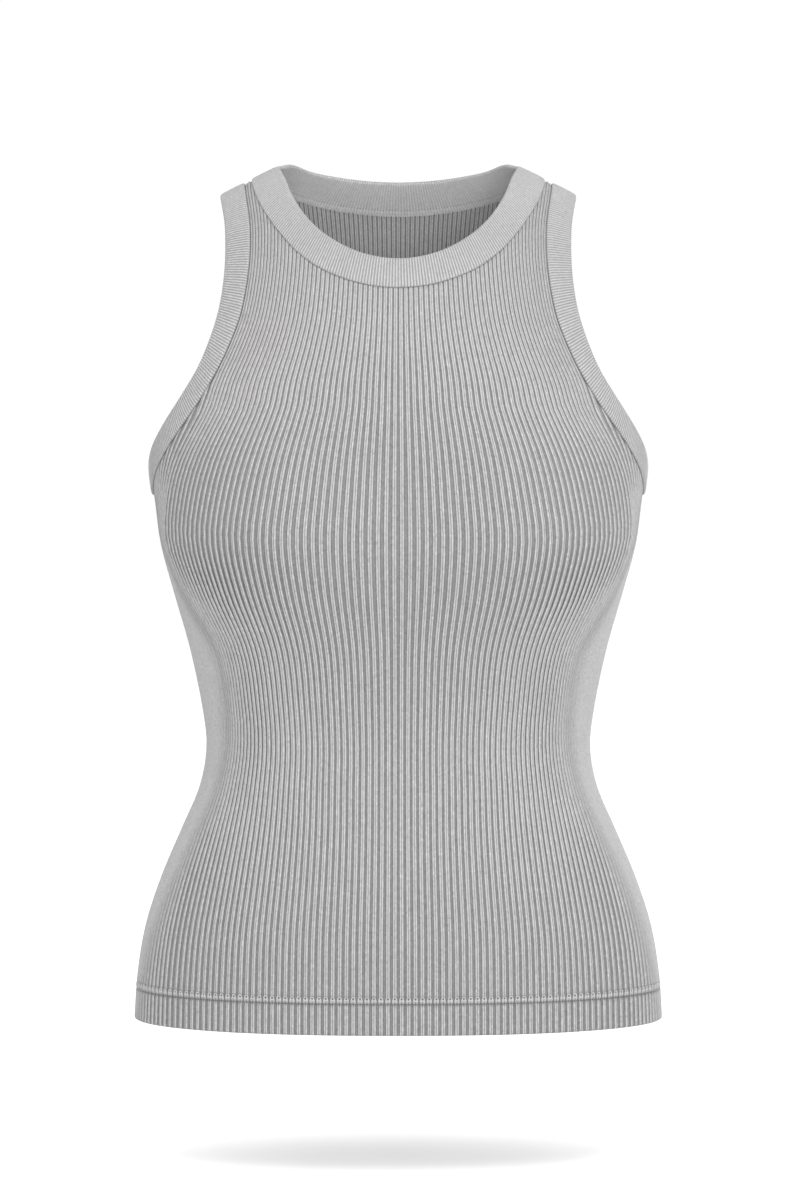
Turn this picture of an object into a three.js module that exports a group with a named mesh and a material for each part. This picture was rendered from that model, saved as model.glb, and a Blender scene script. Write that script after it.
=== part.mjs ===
// Ribbed tank top, filled out with nobody in it: front panel, back panel, neck band and two armhole bands.
// Millimetres, +Z up, front towards -Y. The origin lies midway between the shoulders, at the height of
// the neck end of the shoulder seams, where a wearer's shoulders carry the cloth.

import * as THREE from 'three';

// The form that the cloth is cut for. One row for each height above or below the neck end of the shoulders:
// half of the width, how far the front and the back stand out at the middle, where the armhole rib (the
// 36th from the middle) lies, and how far the even spacing of the ribs is bent round the form, in radians.
const SECTIONS = [
  { z: -525, half: 162.2, front: 96, back: 108, armRib: 139, fan: 0.6 },
  { z: -497, half: 160.2, front: 98, back: 106, armRib: 138, fan: 0.62 },
  { z: -467, half: 155, front: 99.5, back: 100, armRib: 134.5, fan: 0.7 },
  { z: -437, half: 145.1, front: 98, back: 92, armRib: 127.5, fan: 0.78 },
  { z: -407, half: 132.3, front: 93, back: 84, armRib: 118, fan: 0.95 },
  { z: -382, half: 121.7, front: 89, back: 79, armRib: 109, fan: 1.15 },
  { z: -357, half: 117.5, front: 87, back: 77, armRib: 104.5, fan: 1.25 },
  { z: -332, half: 120.3, front: 89, back: 79, armRib: 106, fan: 1.35 },
  { z: -297, half: 127.6, front: 97, back: 87, armRib: 114, fan: 1.35 },
  { z: -262, half: 137.6, front: 106, back: 97, armRib: 128, fan: 1.25 },
  { z: -232, half: 145.8, front: 112, back: 104, armRib: 140, fan: 1.15 },
  { z: -207, half: 149.1, front: 111, back: 108, armRib: 139, fan: 1.05 },
  { z: -183, half: 151.8, front: 107, back: 110, armRib: 132.5, fan: 1 },
  { z: -147, half: 151.8, front: 98, back: 110, armRib: 113.5, fan: 1 },
  { z: -97, half: 151.8, front: 86, back: 103, armRib: 96, fan: 1 },
  { z: -47, half: 151.8, front: 73, back: 84, armRib: 90, fan: 1 },
  { z: 3, half: 151.8, front: 60, back: 70, armRib: 90, fan: 1 },
];
const SQUARENESS = 2.3; // 2 is an ellipse, more is squarer
const BUST = { x: 84, z: -230, rise: 21, wide: 50, tall: 56 };
const SHOULDER_SLOPE = 0.57; // fall of the shoulder ridge far out
const RIDGE_ROUND = 50; // half width over which the ridge line levels out behind the neck
const SHOULDER_ROUND = 110; // drop over which the shoulder rolls from its ridge to the flat of the chest

// Seam lines and free edges, each as points that the line runs through, from the shoulder ridge down.
const NECK_EDGE_X = 72;
const ARM_SEAM_X = 94.2;
const ARM_EDGE_X = 109.3;
const NECK_SEAM_FRONT = [
  { x: 85.4, z: -23.2 },
  { x: 77.3, z: -37.3 },
  { x: 69.7, z: -47.7 },
  { x: 61, z: -57.6 },
  { x: 48.5, z: -67.6 },
  { x: 35, z: -74.3 },
  { x: 18, z: -79.4 },
  { x: 0, z: -81 },
];
const NECK_EDGE_FRONT = [
  { x: 68.7, z: -9.9 },
  { x: 63.4, z: -22.8 },
  { x: 55.2, z: -36 },
  { x: 44.1, z: -47.2 },
  { x: 29.6, z: -56.4 },
  { x: 14.6, z: -61.6 },
  { x: 0, z: -63.2 },
];
const NECK_SEAM_BACK = [
  { x: 82, z: -8.6 },
  { x: 66, z: -14.2 },
  { x: 44, z: -18.8 },
  { x: 22, z: -21.3 },
  { x: 0, z: -22.2 },
];
const NECK_EDGE_BACK = [
  { x: 66.5, z: 2 },
  { x: 54, z: 0.2 },
  { x: 37, z: -1.9 },
  { x: 19, z: -3.3 },
  { x: 0, z: -3.8 },
];
const ARM_SEAM = [
  { x: 90.3, z: -34.3 },
  { x: 89.1, z: -55.2 },
  { x: 90.4, z: -75 },
  { x: 94.4, z: -97 },
  { x: 100.6, z: -114 },
  { x: 108.8, z: -131 },
  { x: 118.2, z: -146.5 },
  { x: 128, z: -160.3 },
  { x: 137.6, z: -173.2 },
  { x: 145.2, z: -185.4 },
];
const ARM_SEAM_SIDE_Z = -201.5;
const ARM_EDGE = [
  { x: 105.9, z: -34.7 },
  { x: 104.3, z: -54.4 },
  { x: 104.8, z: -73.5 },
  { x: 107.4, z: -92 },
  { x: 112.6, z: -110 },
  { x: 120, z: -127.5 },
  { x: 129.6, z: -143 },
  { x: 139.6, z: -157.6 },
  { x: 147.6, z: -170.2 },
];
const ARM_EDGE_SIDE_Z = -183;

// Cloth and knit.
const HEM_Z = -525;
const HEM_TURN = 20; // depth of the turned-up hem
const WALL = 1.3; // one layer of the knit, up to the valleys of the ribs
const RIB_RISE = 0.8; // the ribs above their valleys
const BAND_WALL = 2.9; // folded band, two layers of fine rib
const GAP = 0.55; // between two pieces at a seam
const PANEL_RIBS = 50; // ribs from the middle of a panel to the side seam
const ARM_RIB = 36; // the rib that runs up along the armhole seam
const NECK_CORNER_RIB = 33; // the rib at which the neck seam meets the shoulder seam
const PLAIN_RIBS = 4; // ribs that fade out beside the side seam
const ARM_LEAVE_Z = -125; // below this the armhole seam cuts across the ribs
const ARM_BLEND = 30; // drop over which the armhole rib parts from the seam

// Fineness. Rows of points lie closer where the waist, the bust and the shoulders curve.
const LOWER_SHARES = [0, 0.14, 0.27, 0.37, 0.46, 0.56, 0.69, 0.84, 1]; // rows from the hem up, as shares
const LOWER_ROWS = LOWER_SHARES.length - 1;
const UPPER_ROWS = 6;
const SHOULDER_CROWD = 0.6; // how much closer the upper rows lie towards the shoulder ridge
const INNER_STEP = 8; // half ribs between two columns of the plain inside
const HEM_STEP = 0.03; // part of a row over which the plain side steps from two layers to one
const EDGE_SAMPLES = 240; // points from which a seam line is measured
const WALK_PARTS = 60; // parts in which the cloth is measured round the side of the form
const CORNER_PARTS = [0.25, 0.5, 0.75]; // added edge points where a seam runs along a rib
const MIDDLE_ROW_Z = -162; // height of the row between lower and upper rows, at the middle of the panel
const ARM_POINTS = 18; // parts of the upper armhole seam
const NECK_STATIONS = { front: 36, back: 26 };
const ARM_STATIONS = { front: 26, back: 26 };

const FRONT = -1;
const BACK = 1;

// Smooth value of one column of SECTIONS at a height.
function sectionValue(column, z) {
  const last = SECTIONS.length - 1;
  let i = 0;
  while (i < last - 1 && SECTIONS[i + 1].z < z) i += 1;
  const slope = (k) => {
    const a = SECTIONS[Math.max(k - 1, 0)];
    const b = SECTIONS[Math.min(k + 1, last)];
    return (b[column] - a[column]) / (b.z - a.z);
  };
  const from = SECTIONS[i];
  const to = SECTIONS[i + 1];
  const step = to.z - from.z;
  const t = THREE.MathUtils.clamp((z - from.z) / step, 0, 1);
  const s = 1 - t;
  const ends = from[column] * s * s * (1 + 2 * t) + to[column] * t * t * (3 - 2 * t);
  return ends + step * (slope(i) * t * s * s - slope(i + 1) * t * t * s);
}

const ridgeZ = (x) => SHOULDER_SLOPE * (Math.hypot(NECK_EDGE_X, RIDGE_ROUND) - Math.hypot(x, RIDGE_ROUND));

// Square of the roll over the shoulder, from 0 on the ridge to 1 on the chest.
function roll(x, z) {
  const s = THREE.MathUtils.clamp((ridgeZ(x) - z) / SHOULDER_ROUND, 0, 1);
  return 2 * s - s * s;
}

// How far the form stands out, before it curves away to the side and the shoulder.
function reach(x, z, side) {
  if (side === BACK) return sectionValue('back', z);
  const across = (Math.abs(x) - BUST.x) / BUST.wide;
  const up = (z - BUST.z) / BUST.tall;
  return sectionValue('front', z) + BUST.rise * Math.exp(-across * across - up * up);
}

function formY(x, z, side) {
  const wide = Math.min(Math.abs(x) / sectionValue('half', z), 1);
  const y = reach(x, z, side) * Math.sqrt(roll(x, z) * (1 - wide ** SQUARENESS));
  return side * Math.max(y, GAP / 2);
}

// Zero on the form, more outside. Its gradient gives the direction in which the cloth is thick.
function formLevel(p) {
  const side = p.y > 0 ? BACK : FRONT;
  const deep = p.y / reach(p.x, p.z, side);
  const s = Math.min((ridgeZ(p.x) - p.z) / SHOULDER_ROUND, 1);
  const wide = Math.abs(p.x) / sectionValue('half', p.z);
  return deep * deep - (2 * s - s * s) * (1 - wide ** SQUARENESS);
}

function formGradient(p) {
  const h = 0.05;
  const change = (x, y, z) => {
    const far = formLevel(new THREE.Vector3(p.x + x, p.y + y, p.z + z));
    const near = formLevel(new THREE.Vector3(p.x - x, p.y - y, p.z - z));
    return (far - near) / (2 * h);
  };
  return new THREE.Vector3(change(h, 0, 0), change(0, h, 0), change(0, 0, h));
}

function offset(p, out) {
  return p.clone().addScaledVector(formGradient(p).normalize(), out);
}

// Nearest point of the form, by a few steps along the gradient.
function ontoForm(p) {
  const q = p.clone();
  for (let i = 0; i < 4; i += 1) {
    const g = formGradient(q);
    q.addScaledVector(g, -formLevel(q) / g.lengthSq());
  }
  return q;
}

const onForm = ({ x, z }, side) => new THREE.Vector3(x, formY(x, z, side), z);
const onRidge = (x) => new THREE.Vector3(x, 0, ridgeZ(x));

// Points at even distances along the part of a closed curve between two of its control points.
function evenRun(curve, from, to, count) {
  const fine = EDGE_SAMPLES;
  const knots = curve.points.length;
  const path = [];
  for (let i = 0; i <= fine; i += 1) {
    const at = (from + ((to - from) * i) / fine) / knots;
    path.push(ontoForm(curve.getPoint(at)));
  }
  const lengths = [0];
  for (let i = 1; i <= fine; i += 1) lengths.push(lengths[i - 1] + path[i].distanceTo(path[i - 1]));
  const run = [];
  let k = 0;
  for (let i = 0; i <= count; i += 1) {
    const goal = (lengths[fine] * i) / count;
    while (k < fine - 1 && lengths[k + 1] < goal) k += 1;
    const t = (goal - lengths[k]) / (lengths[k + 1] - lengths[k]);
    run.push(ontoForm(path[k].clone().lerp(path[k + 1], THREE.MathUtils.clamp(t, 0, 1))));
  }
  return run;
}

// Closed line through the shoulder ridge and the bottom, with its front and back points between them.
function armLoop(rows, ridgeX, sideZ) {
  const side = new THREE.Vector3(sectionValue('half', sideZ), 0, sideZ);
  const front = rows.map((row) => onForm(row, FRONT));
  const back = rows.map((row) => onForm(row, BACK)).reverse();
  const points = [onRidge(ridgeX), ...front, side, ...back];
  return new THREE.CatmullRomCurve3(points, true, 'centripetal');
}

function neckLoop(frontRows, backRows, ridgeX) {
  const mirror = (p) => new THREE.Vector3(-p.x, p.y, p.z);
  const front = frontRows.map((row) => onForm(row, FRONT));
  const back = backRows.map((row) => onForm(row, BACK)).reverse();
  const farFront = front.slice(0, -1).reverse().map(mirror);
  const farBack = back.slice(1).reverse().map(mirror);
  const points = [onRidge(ridgeX), ...front, ...farFront, onRidge(-ridgeX), ...farBack, ...back];
  return new THREE.CatmullRomCurve3(points, true, 'centripetal');
}

// Share of the armhole rib's distance at which another rib lies, and back.
const fanShare = (ribs, fan) => Math.sin((fan * ribs) / ARM_RIB) / Math.sin(fan);
const fanRibs = (share, fan) => (ARM_RIB * Math.asin(Math.min(share, 1) * Math.sin(fan))) / fan;

const NECK_SEAM_X = ARM_SEAM_X * fanShare(NECK_CORNER_RIB, 1);
const armSeam = armLoop(ARM_SEAM, ARM_SEAM_X, ARM_SEAM_SIDE_Z);
const armEdge = armLoop(ARM_EDGE, ARM_EDGE_X, ARM_EDGE_SIDE_Z);
const neckSeam = neckLoop(NECK_SEAM_FRONT, NECK_SEAM_BACK, NECK_SEAM_X);
const neckEdge = neckLoop(NECK_EDGE_FRONT, NECK_EDGE_BACK, NECK_EDGE_X);

// Value at a place in a list of pairs whose first numbers rise.
function lookUp(pairs, at) {
  let i = 0;
  while (i < pairs.length - 2 && pairs[i + 1][0] < at) i += 1;
  const [a, va] = pairs[i];
  const [b, vb] = pairs[i + 1];
  return va + (vb - va) * THREE.MathUtils.clamp((at - a) / (b - a), 0, 1);
}

// Share of the height between hem and middle row at which a lower row lies, and back.
function lowerShare(row) {
  const i = Math.min(Math.floor(row), LOWER_ROWS - 1);
  return THREE.MathUtils.lerp(LOWER_SHARES[i], LOWER_SHARES[i + 1], row - i);
}

// One panel's rules: where each rib runs, and where the neck, shoulder and armhole seams cut it off.
function panelRules(side) {
  const frontRows = ARM_SEAM.length + 1;
  const armRun = side === FRONT
    ? evenRun(armSeam, 0, frontRows, EDGE_SAMPLES)
    : evenRun(armSeam, frontRows, 2 * frontRows, EDGE_SAMPLES).reverse();
  const seamX = armRun.map((p) => [p.z, p.x]).reverse();

  const armRibX = (z) => {
    const t = THREE.MathUtils.smoothstep(z, ARM_LEAVE_Z - ARM_BLEND, ARM_LEAVE_Z);
    return THREE.MathUtils.lerp(sectionValue('armRib', z), lookUp(seamX, z), t);
  };

  // Distances along the cloth from the armhole rib towards the side seam, at one height.
  const sideWalk = (z) => {
    const half = sectionValue('half', z);
    const start = Math.asin(armRibX(z) / half);
    const walk = [];
    let before = null;
    let length = 0;
    for (let i = 0; i <= WALK_PARTS; i += 1) {
      const x = half * Math.sin(start + ((Math.PI / 2 - start) * i) / WALK_PARTS);
      const p = onForm({ x, z }, side);
      if (before) length += p.distanceTo(before);
      walk.push([length, x]);
      before = p;
    }
    return walk;
  };

  const ribX = (ribs, z) => {
    if (ribs <= ARM_RIB) return armRibX(z) * fanShare(ribs, sectionValue('fan', z));
    const walk = sideWalk(z);
    const share = (ribs - ARM_RIB) / (PANEL_RIBS - ARM_RIB);
    return lookUp(walk, share * walk[walk.length - 1][0]);
  };

  // Where the lower armhole seam cuts the ribs beyond the armhole rib.
  const armCuts = [];
  for (const p of armRun) {
    if (p.z < ARM_LEAVE_Z) {
      const walk = sideWalk(p.z);
      const done = lookUp(walk.map(([length, x]) => [x, length]), p.x);
      const share = done / walk[walk.length - 1][0];
      armCuts.push([ARM_RIB + share * (PANEL_RIBS - ARM_RIB), p.z]);
    }
  }
  armCuts.unshift([ARM_RIB, ARM_LEAVE_Z]);
  armCuts.push([PANEL_RIBS, ARM_SEAM_SIDE_Z]);

  const ridgeKnot = NECK_SEAM_FRONT.length;
  const knots = neckSeam.points.length;
  const neckRun = side === FRONT
    ? evenRun(neckSeam, ridgeKnot, 0, EDGE_SAMPLES)
    : evenRun(neckSeam, knots - NECK_SEAM_BACK.length, knots, EDGE_SAMPLES);
  const neckCuts = neckRun.map((p) => {
    const share = Math.max(p.x, 0) / armRibX(p.z);
    return [fanRibs(share, sectionValue('fan', p.z)), p.z];
  });

  const shoulderZ = (ribs) => {
    let z = ridgeZ(ARM_SEAM_X);
    for (let i = 0; i < 20; i += 1) z = ridgeZ(ARM_SEAM_X * fanShare(ribs, sectionValue('fan', z)));
    return z;
  };

  const topZ = (ribs) => (ribs < NECK_CORNER_RIB ? lookUp(neckCuts, ribs) : shoulderZ(ribs));
  const middleZ = (ribs) => {
    if (ribs > ARM_RIB) return lookUp(armCuts, ribs);
    return THREE.MathUtils.lerp(MIDDLE_ROW_Z, ARM_LEAVE_Z, (ribs / ARM_RIB) ** 2);
  };

  const rowZ = (ribs, row) => {
    if (row <= LOWER_ROWS) return THREE.MathUtils.lerp(HEM_Z, middleZ(ribs), lowerShare(row));
    const crowd = 1 + SHOULDER_CROWD * (ribs / ARM_RIB) ** 2;
    const t = 1 - (1 - (row - LOWER_ROWS) / UPPER_ROWS) ** crowd;
    return THREE.MathUtils.lerp(middleZ(ribs), topZ(ribs), t);
  };

  const shoulderPoint = (ribs) => {
    const z = shoulderZ(ribs);
    const x = ARM_SEAM_X * fanShare(ribs, sectionValue('fan', z));
    return new THREE.Vector3(x, (side * GAP) / 2, ridgeZ(x));
  };

  const pointAt = (halfRibs, row) => {
    const ribs = halfRibs / 2;
    const z = rowZ(ribs, row);
    const atRidge = row === LOWER_ROWS + UPPER_ROWS && ribs >= NECK_CORNER_RIB;
    return atRidge ? shoulderPoint(ribs) : onForm({ x: ribX(ribs, z), z }, side);
  };

  return { pointAt, rowZ };
}

// Triangles between two lines of stations, each { p, at }, by always stepping the line that lags.
function zip(triangles, one, other, flip) {
  let i = 0;
  let j = 0;
  while (i < one.length - 1 || j < other.length - 1) {
    const stepOne = j === other.length - 1
      || (i < one.length - 1 && one[i + 1].at <= other[j + 1].at);
    const third = stepOne ? one[i + 1].p : other[j + 1].p;
    const corners = [one[i].p, third, other[j].p];
    triangles.push(flip ? corners.reverse() : corners);
    if (stepOne) i += 1;
    else j += 1;
  }
}

function meshOf(name, triangles, material) {
  const positions = triangles.flat().flatMap((p) => [p.x, p.y, p.z]);
  const geometry = new THREE.BufferGeometry();
  geometry.setAttribute('position', new THREE.Float32BufferAttribute(positions, 3));
  geometry.computeVertexNormals();
  const mesh = new THREE.Mesh(geometry, material);
  mesh.name = name;
  return mesh;
}

const range = (from, to, step) => {
  const list = [];
  for (let i = from; i < to; i += step) list.push(i);
  list.push(to);
  return list;
};

// A panel: ribs raised in the outer points, a plain inside, and a second layer inside the hem.
function panel(name, side, material) {
  const { pointAt, rowZ } = panelRules(side);
  const armHalf = 2 * ARM_RIB;
  const sideHalf = 2 * PANEL_RIBS;
  const topRow = LOWER_ROWS + UPPER_ROWS;
  const hemRow = HEM_TURN / (rowZ(0, 1) - HEM_Z);

  const ribRise = (halfRibs) => {
    const fade = THREE.MathUtils.clamp((sideHalf - halfRibs) / (2 * PLAIN_RIBS), 0, 1);
    return halfRibs % 2 === 1 ? RIB_RISE * fade : 0;
  };
  const outer = (halfRibs, row) => offset(pointAt(halfRibs, row), WALL + ribRise(halfRibs));
  const inner = (halfRibs, row) => offset(pointAt(halfRibs, row), row <= hemRow ? -WALL : 0);
  const line = (layer, columns, row) => columns.map((c) => ({ p: layer(c, row), at: c }));

  const allColumns = range(0, sideHalf, 1);
  const neckCorner = 2 * NECK_CORNER_RIB;
  const topList = [
    ...range(0, neckCorner - 1, 1),
    ...CORNER_PARTS.map((part) => neckCorner - 1 + part),
    ...range(neckCorner, armHalf, 1),
  ];
  const topColumns = (from, to) => topList.filter((c) => c >= from && c <= to);
  const cutParts = CORNER_PARTS.map((part) => armHalf + part);
  const cutColumns = [armHalf, ...cutParts, ...range(armHalf + 1, sideHalf, 1)];
  const middleColumns = [...range(0, armHalf - 1, 1), ...cutColumns];
  const ribbed = { lower: allColumns, upper: range(0, armHalf - 4, 1), fine: range(armHalf - 3, armHalf, 1) };
  const plainUpper = range(0, armHalf - INNER_STEP, INNER_STEP);
  const plainLower = [...plainUpper, ...range(armHalf, sideHalf, INNER_STEP)];
  const plain = { lower: plainLower, upper: plainUpper, fine: [armHalf] };
  const lowRows = range(0, LOWER_ROWS, 1);
  const plainRows = [0, hemRow, hemRow + HEM_STEP, ...lowRows.slice(1)];
  const highRows = range(LOWER_ROWS, topRow, 1);

  // A column beside the upper armhole seam, in finer parts than the rows, so that the seam stays round.
  const fineLine = (layer, column) => range(0, ARM_POINTS, 1).map((i) => {
    const row = LOWER_ROWS + (UPPER_ROWS * i) / ARM_POINTS;
    return { p: layer(column, row), at: row };
  });

  const skin = (triangles, layer, { lower, upper, fine }, rows, flip) => {
    for (let i = 0; i < rows.length - 1; i += 1) {
      const top = rows[i + 1] === LOWER_ROWS ? middleColumns : lower;
      zip(triangles, line(layer, lower, rows[i]), line(layer, top, rows[i + 1]), flip);
    }
    const last = upper[upper.length - 1];
    for (let i = 0; i < highRows.length - 1; i += 1) {
      const bottom = highRows[i] === LOWER_ROWS ? range(0, last, 1) : upper;
      const top = highRows[i + 1] === topRow ? topColumns(0, last) : upper;
      zip(triangles, line(layer, bottom, highRows[i]), line(layer, top, highRows[i + 1]), flip);
    }
    // Columns that the plain inside skips still belong to the row below and to the top edge.
    const skipped = (columns, row) => columns.slice(1, -1).map((c) => ({ p: layer(c, row), at: row }));
    const foot = skipped(range(last, fine[0], 1), LOWER_ROWS);
    const head = skipped(topColumns(last, fine[0]), topRow).reverse();
    const inside = highRows.map((row) => ({ p: layer(last, row), at: row }));
    zip(triangles, inside, [...foot, ...fineLine(layer, fine[0]), ...head], !flip);
    for (let i = 0; i < fine.length - 1; i += 1) {
      zip(triangles, fineLine(layer, fine[i]), fineLine(layer, fine[i + 1]), !flip);
    }
  };

  // The open edge from the middle of the hem round to the middle of the neck.
  const rim = (layer, columns, rows) => {
    const edge = [];
    const add = (p) => edge.push({ p, at: edge.length });
    columns.forEach((c) => add(layer(c, 0)));
    rows.slice(1).forEach((row) => add(layer(sideHalf, row)));
    cutColumns.slice(0, -1).reverse().forEach((c) => add(layer(c, LOWER_ROWS)));
    fineLine(layer, armHalf).slice(1).forEach((station) => add(station.p));
    topColumns(0, armHalf).slice(0, -1).reverse().forEach((c) => add(layer(c, topRow)));
    return edge;
  };
  // Both edges count their places alike: fewer stations on the plain side get the places of their twins.
  const place = (columns, rows) => [
    ...columns,
    ...rows.slice(1).map((row) => sideHalf + row),
    ...cutColumns.slice(1).map((c, i) => sideHalf + LOWER_ROWS + i),
    ...range(1, ARM_POINTS, 1).map((i) => 2 * sideHalf + i),
    ...topColumns(0, armHalf).slice(1).map((c, i) => 3 * sideHalf + i),
  ];
  const placed = (edge, places) => edge.map((station, i) => ({ p: station.p, at: places[i] }));

  const half = [];
  const flip = side === BACK;
  skin(half, outer, ribbed, lowRows, flip);
  skin(half, inner, plain, plainRows, !flip);
  const outerRim = placed(rim(outer, allColumns, lowRows), place(allColumns, lowRows));
  const innerRim = placed(rim(inner, plain.lower, plainRows), place(plain.lower, plainRows));
  zip(half, outerRim, innerRim, !flip);

  const mirror = (p) => new THREE.Vector3(-p.x, p.y, p.z);
  const whole = [...half, ...half.map((corners) => corners.map(mirror).reverse())];
  return meshOf(name, whole, material);
}

// A band's cross-section, from the seam over the outside, round the fold and back along the inside.
const BAND_SECTION = [
  { along: 0, out: 0 },
  { along: 0, out: BAND_WALL - 0.2 },
  { along: 0.35, out: BAND_WALL },
  { along: 0.7, out: BAND_WALL },
  { along: 0.93, out: BAND_WALL - 0.3 },
  { along: 1, out: BAND_WALL / 2 },
  { along: 0.93, out: 0.2 },
  { along: 0.5, out: 0 },
];

// A folded band between its seam and its free edge, which have the same number of points.
function band(name, seam, edge, material) {
  const rings = seam.map((from, i) => {
    const toEdge = edge[i].clone().sub(from);
    const start = from.clone().addScaledVector(toEdge, GAP / toEdge.length());
    return BAND_SECTION.map(({ along, out }) => offset(ontoForm(start.clone().lerp(edge[i], along)), out));
  });
  const triangles = [];
  rings.forEach((ring, i) => {
    const next = rings[(i + 1) % rings.length];
    ring.forEach((p, k) => {
      const m = (k + 1) % ring.length;
      triangles.push([p, next[k], next[m]], [p, next[m], ring[m]]);
    });
  });
  return meshOf(name, triangles, material);
}

function armStations(loop) {
  const bottom = loop.points.length / 2;
  const front = evenRun(loop, 0, bottom, ARM_STATIONS.front);
  const back = evenRun(loop, bottom, 2 * bottom, ARM_STATIONS.back);
  return [...front.slice(0, -1), ...back.slice(0, -1)];
}

function neckStations(loop, frontRows) {
  const far = 2 * frontRows;
  const front = evenRun(loop, 0, far, NECK_STATIONS.front);
  const back = evenRun(loop, far, loop.points.length, NECK_STATIONS.back);
  return [...front.slice(0, -1), ...back.slice(0, -1)].reverse();
}

const mirrored = (points) => points.map((p) => new THREE.Vector3(-p.x, p.y, p.z)).reverse();

const knit = new THREE.MeshStandardMaterial({ color: 0xb4b6ba, roughness: 0.95, metalness: 0 });
const bandKnit = new THREE.MeshStandardMaterial({ color: 0xbcbec2, roughness: 0.95, metalness: 0 });

const rightSeam = armStations(armSeam);
const rightEdge = armStations(armEdge);

const tankTop = new THREE.Group();
tankTop.add(panel('front_panel', FRONT, knit));
tankTop.add(panel('back_panel', BACK, knit));
tankTop.add(band(
  'neck_band',
  neckStations(neckSeam, NECK_SEAM_FRONT.length),
  neckStations(neckEdge, NECK_EDGE_FRONT.length),
  bandKnit,
));
tankTop.add(band('armhole_band_right', rightSeam, rightEdge, bandKnit));
tankTop.add(band('armhole_band_left', mirrored(rightSeam), mirrored(rightEdge), bandKnit));

export default tankTop;
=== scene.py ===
# %% [markdown]
# Ribbed tank top, filled out with nobody in it.
#
# The real top is cut from grey heather two by two rib: a front panel, a back panel, a neck band and two
# armhole bands of finer rib, each band folded once along its free edge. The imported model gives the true
# size of these five pieces as plain solids. This script dresses them: it builds each piece again as a thin
# knitted wall on the same form, with its ribs, its hem and its sewing, and gives it a knit finish.

import math

import bpy
import numpy as np
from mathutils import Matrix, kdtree


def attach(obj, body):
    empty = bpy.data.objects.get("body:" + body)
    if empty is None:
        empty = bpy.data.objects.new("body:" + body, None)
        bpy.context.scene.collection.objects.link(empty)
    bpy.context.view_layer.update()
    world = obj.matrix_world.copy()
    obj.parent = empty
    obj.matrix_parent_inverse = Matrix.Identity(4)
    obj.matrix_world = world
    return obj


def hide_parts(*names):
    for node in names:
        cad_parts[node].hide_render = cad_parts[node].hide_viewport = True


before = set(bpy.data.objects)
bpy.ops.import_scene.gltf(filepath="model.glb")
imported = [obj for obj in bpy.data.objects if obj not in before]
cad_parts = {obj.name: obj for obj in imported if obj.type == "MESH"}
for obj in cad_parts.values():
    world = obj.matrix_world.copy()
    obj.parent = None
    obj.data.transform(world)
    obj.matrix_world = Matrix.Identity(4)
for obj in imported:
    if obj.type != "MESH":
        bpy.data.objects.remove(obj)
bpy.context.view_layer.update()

MM = 0.001  # sizes below are in millimetres, as a pattern maker writes them, and meshes are in metres
print("nodes in the packed model:", sorted(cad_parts))

# %% [markdown]
# The form that the cloth is stretched over. On the real top it is nobody's body: a few level sections, each
# a rounded box, that swell at the bust and the hem, draw in at the waist and roll over at the shoulders.
# One row holds one height: half of the width, the reach to the front and to the back, where the rib beside
# the armhole lies, and how far the even spacing of the ribs is bent round the form. A smooth curve through
# the rows gives every height between, so a handful of sizes is enough for the whole shape.

# %% The sections of the form
SECTION_COLUMNS = ("z", "half", "front", "back", "arm_rib", "fan")
SECTIONS = np.array([
    (-525, 162.2, 96, 108, 139, 0.6),
    (-497, 160.2, 98, 106, 138, 0.62),
    (-467, 155, 99.5, 100, 134.5, 0.7),
    (-437, 145.1, 98, 92, 127.5, 0.78),
    (-407, 132.3, 93, 84, 118, 0.95),
    (-382, 121.7, 89, 79, 109, 1.15),
    (-357, 117.5, 87, 77, 103.5, 1.25),
    (-332, 120.3, 89, 79, 103.5, 1.3),
    (-297, 127.6, 97, 87, 109.5, 1.3),
    (-262, 137.6, 106, 97, 127.5, 1.25),
    (-232, 145.8, 112, 104, 139.5, 1.15),
    (-207, 149.1, 111, 108, 139, 1.05),
    (-183, 151.8, 107, 110, 132.5, 1),
    (-147, 151.8, 98, 110, 113.5, 1),
    (-97, 151.8, 86, 103, 96, 1),
    (-47, 151.8, 73, 84, 90, 1),
    (3, 151.8, 60, 70, 90, 1),
])
SQUARENESS = 2.3  # 2 is an ellipse, more is squarer
BUST_X, BUST_Z, BUST_RISE, BUST_WIDE, BUST_TALL = 84, -230, 21, 50, 56  # a soft bump on each half in front
SHOULDER_SLOPE = 0.57
RIDGE_ROUND = 50  # half width over which the ridge line levels out behind the neck
SHOULDER_ROUND = 110  # drop over which the shoulder rolls from its ridge to the flat of the chest
NECK_EDGE_X = 72
WAIST_Z = -357  # the narrowest place
PRESS_STEPS = 4  # steps that press a point onto the form

HEIGHTS = SECTIONS[:, 0]


def section(name, z):
    """Smooth value of one column of SECTIONS at any heights."""
    values = SECTIONS[:, SECTION_COLUMNS.index(name)]
    last = len(HEIGHTS) - 1
    i = np.arange(last + 1)
    below, above = np.maximum(i - 1, 0), np.minimum(i + 1, last)
    slope = (values[above] - values[below]) / (HEIGHTS[above] - HEIGHTS[below])
    k = np.clip(np.searchsorted(HEIGHTS, z) - 1, 0, last - 1)
    step = HEIGHTS[k + 1] - HEIGHTS[k]
    t = np.clip((z - HEIGHTS[k]) / step, 0, 1)
    s = 1 - t
    ends = values[k] * s * s * (1 + 2 * t) + values[k + 1] * t * t * (3 - 2 * t)
    return ends + step * (slope[k] * t * s * s - slope[k + 1] * t * t * s)


def ridge_z(x):
    return SHOULDER_SLOPE * (np.hypot(NECK_EDGE_X, RIDGE_ROUND) - np.hypot(x, RIDGE_ROUND))


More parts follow.
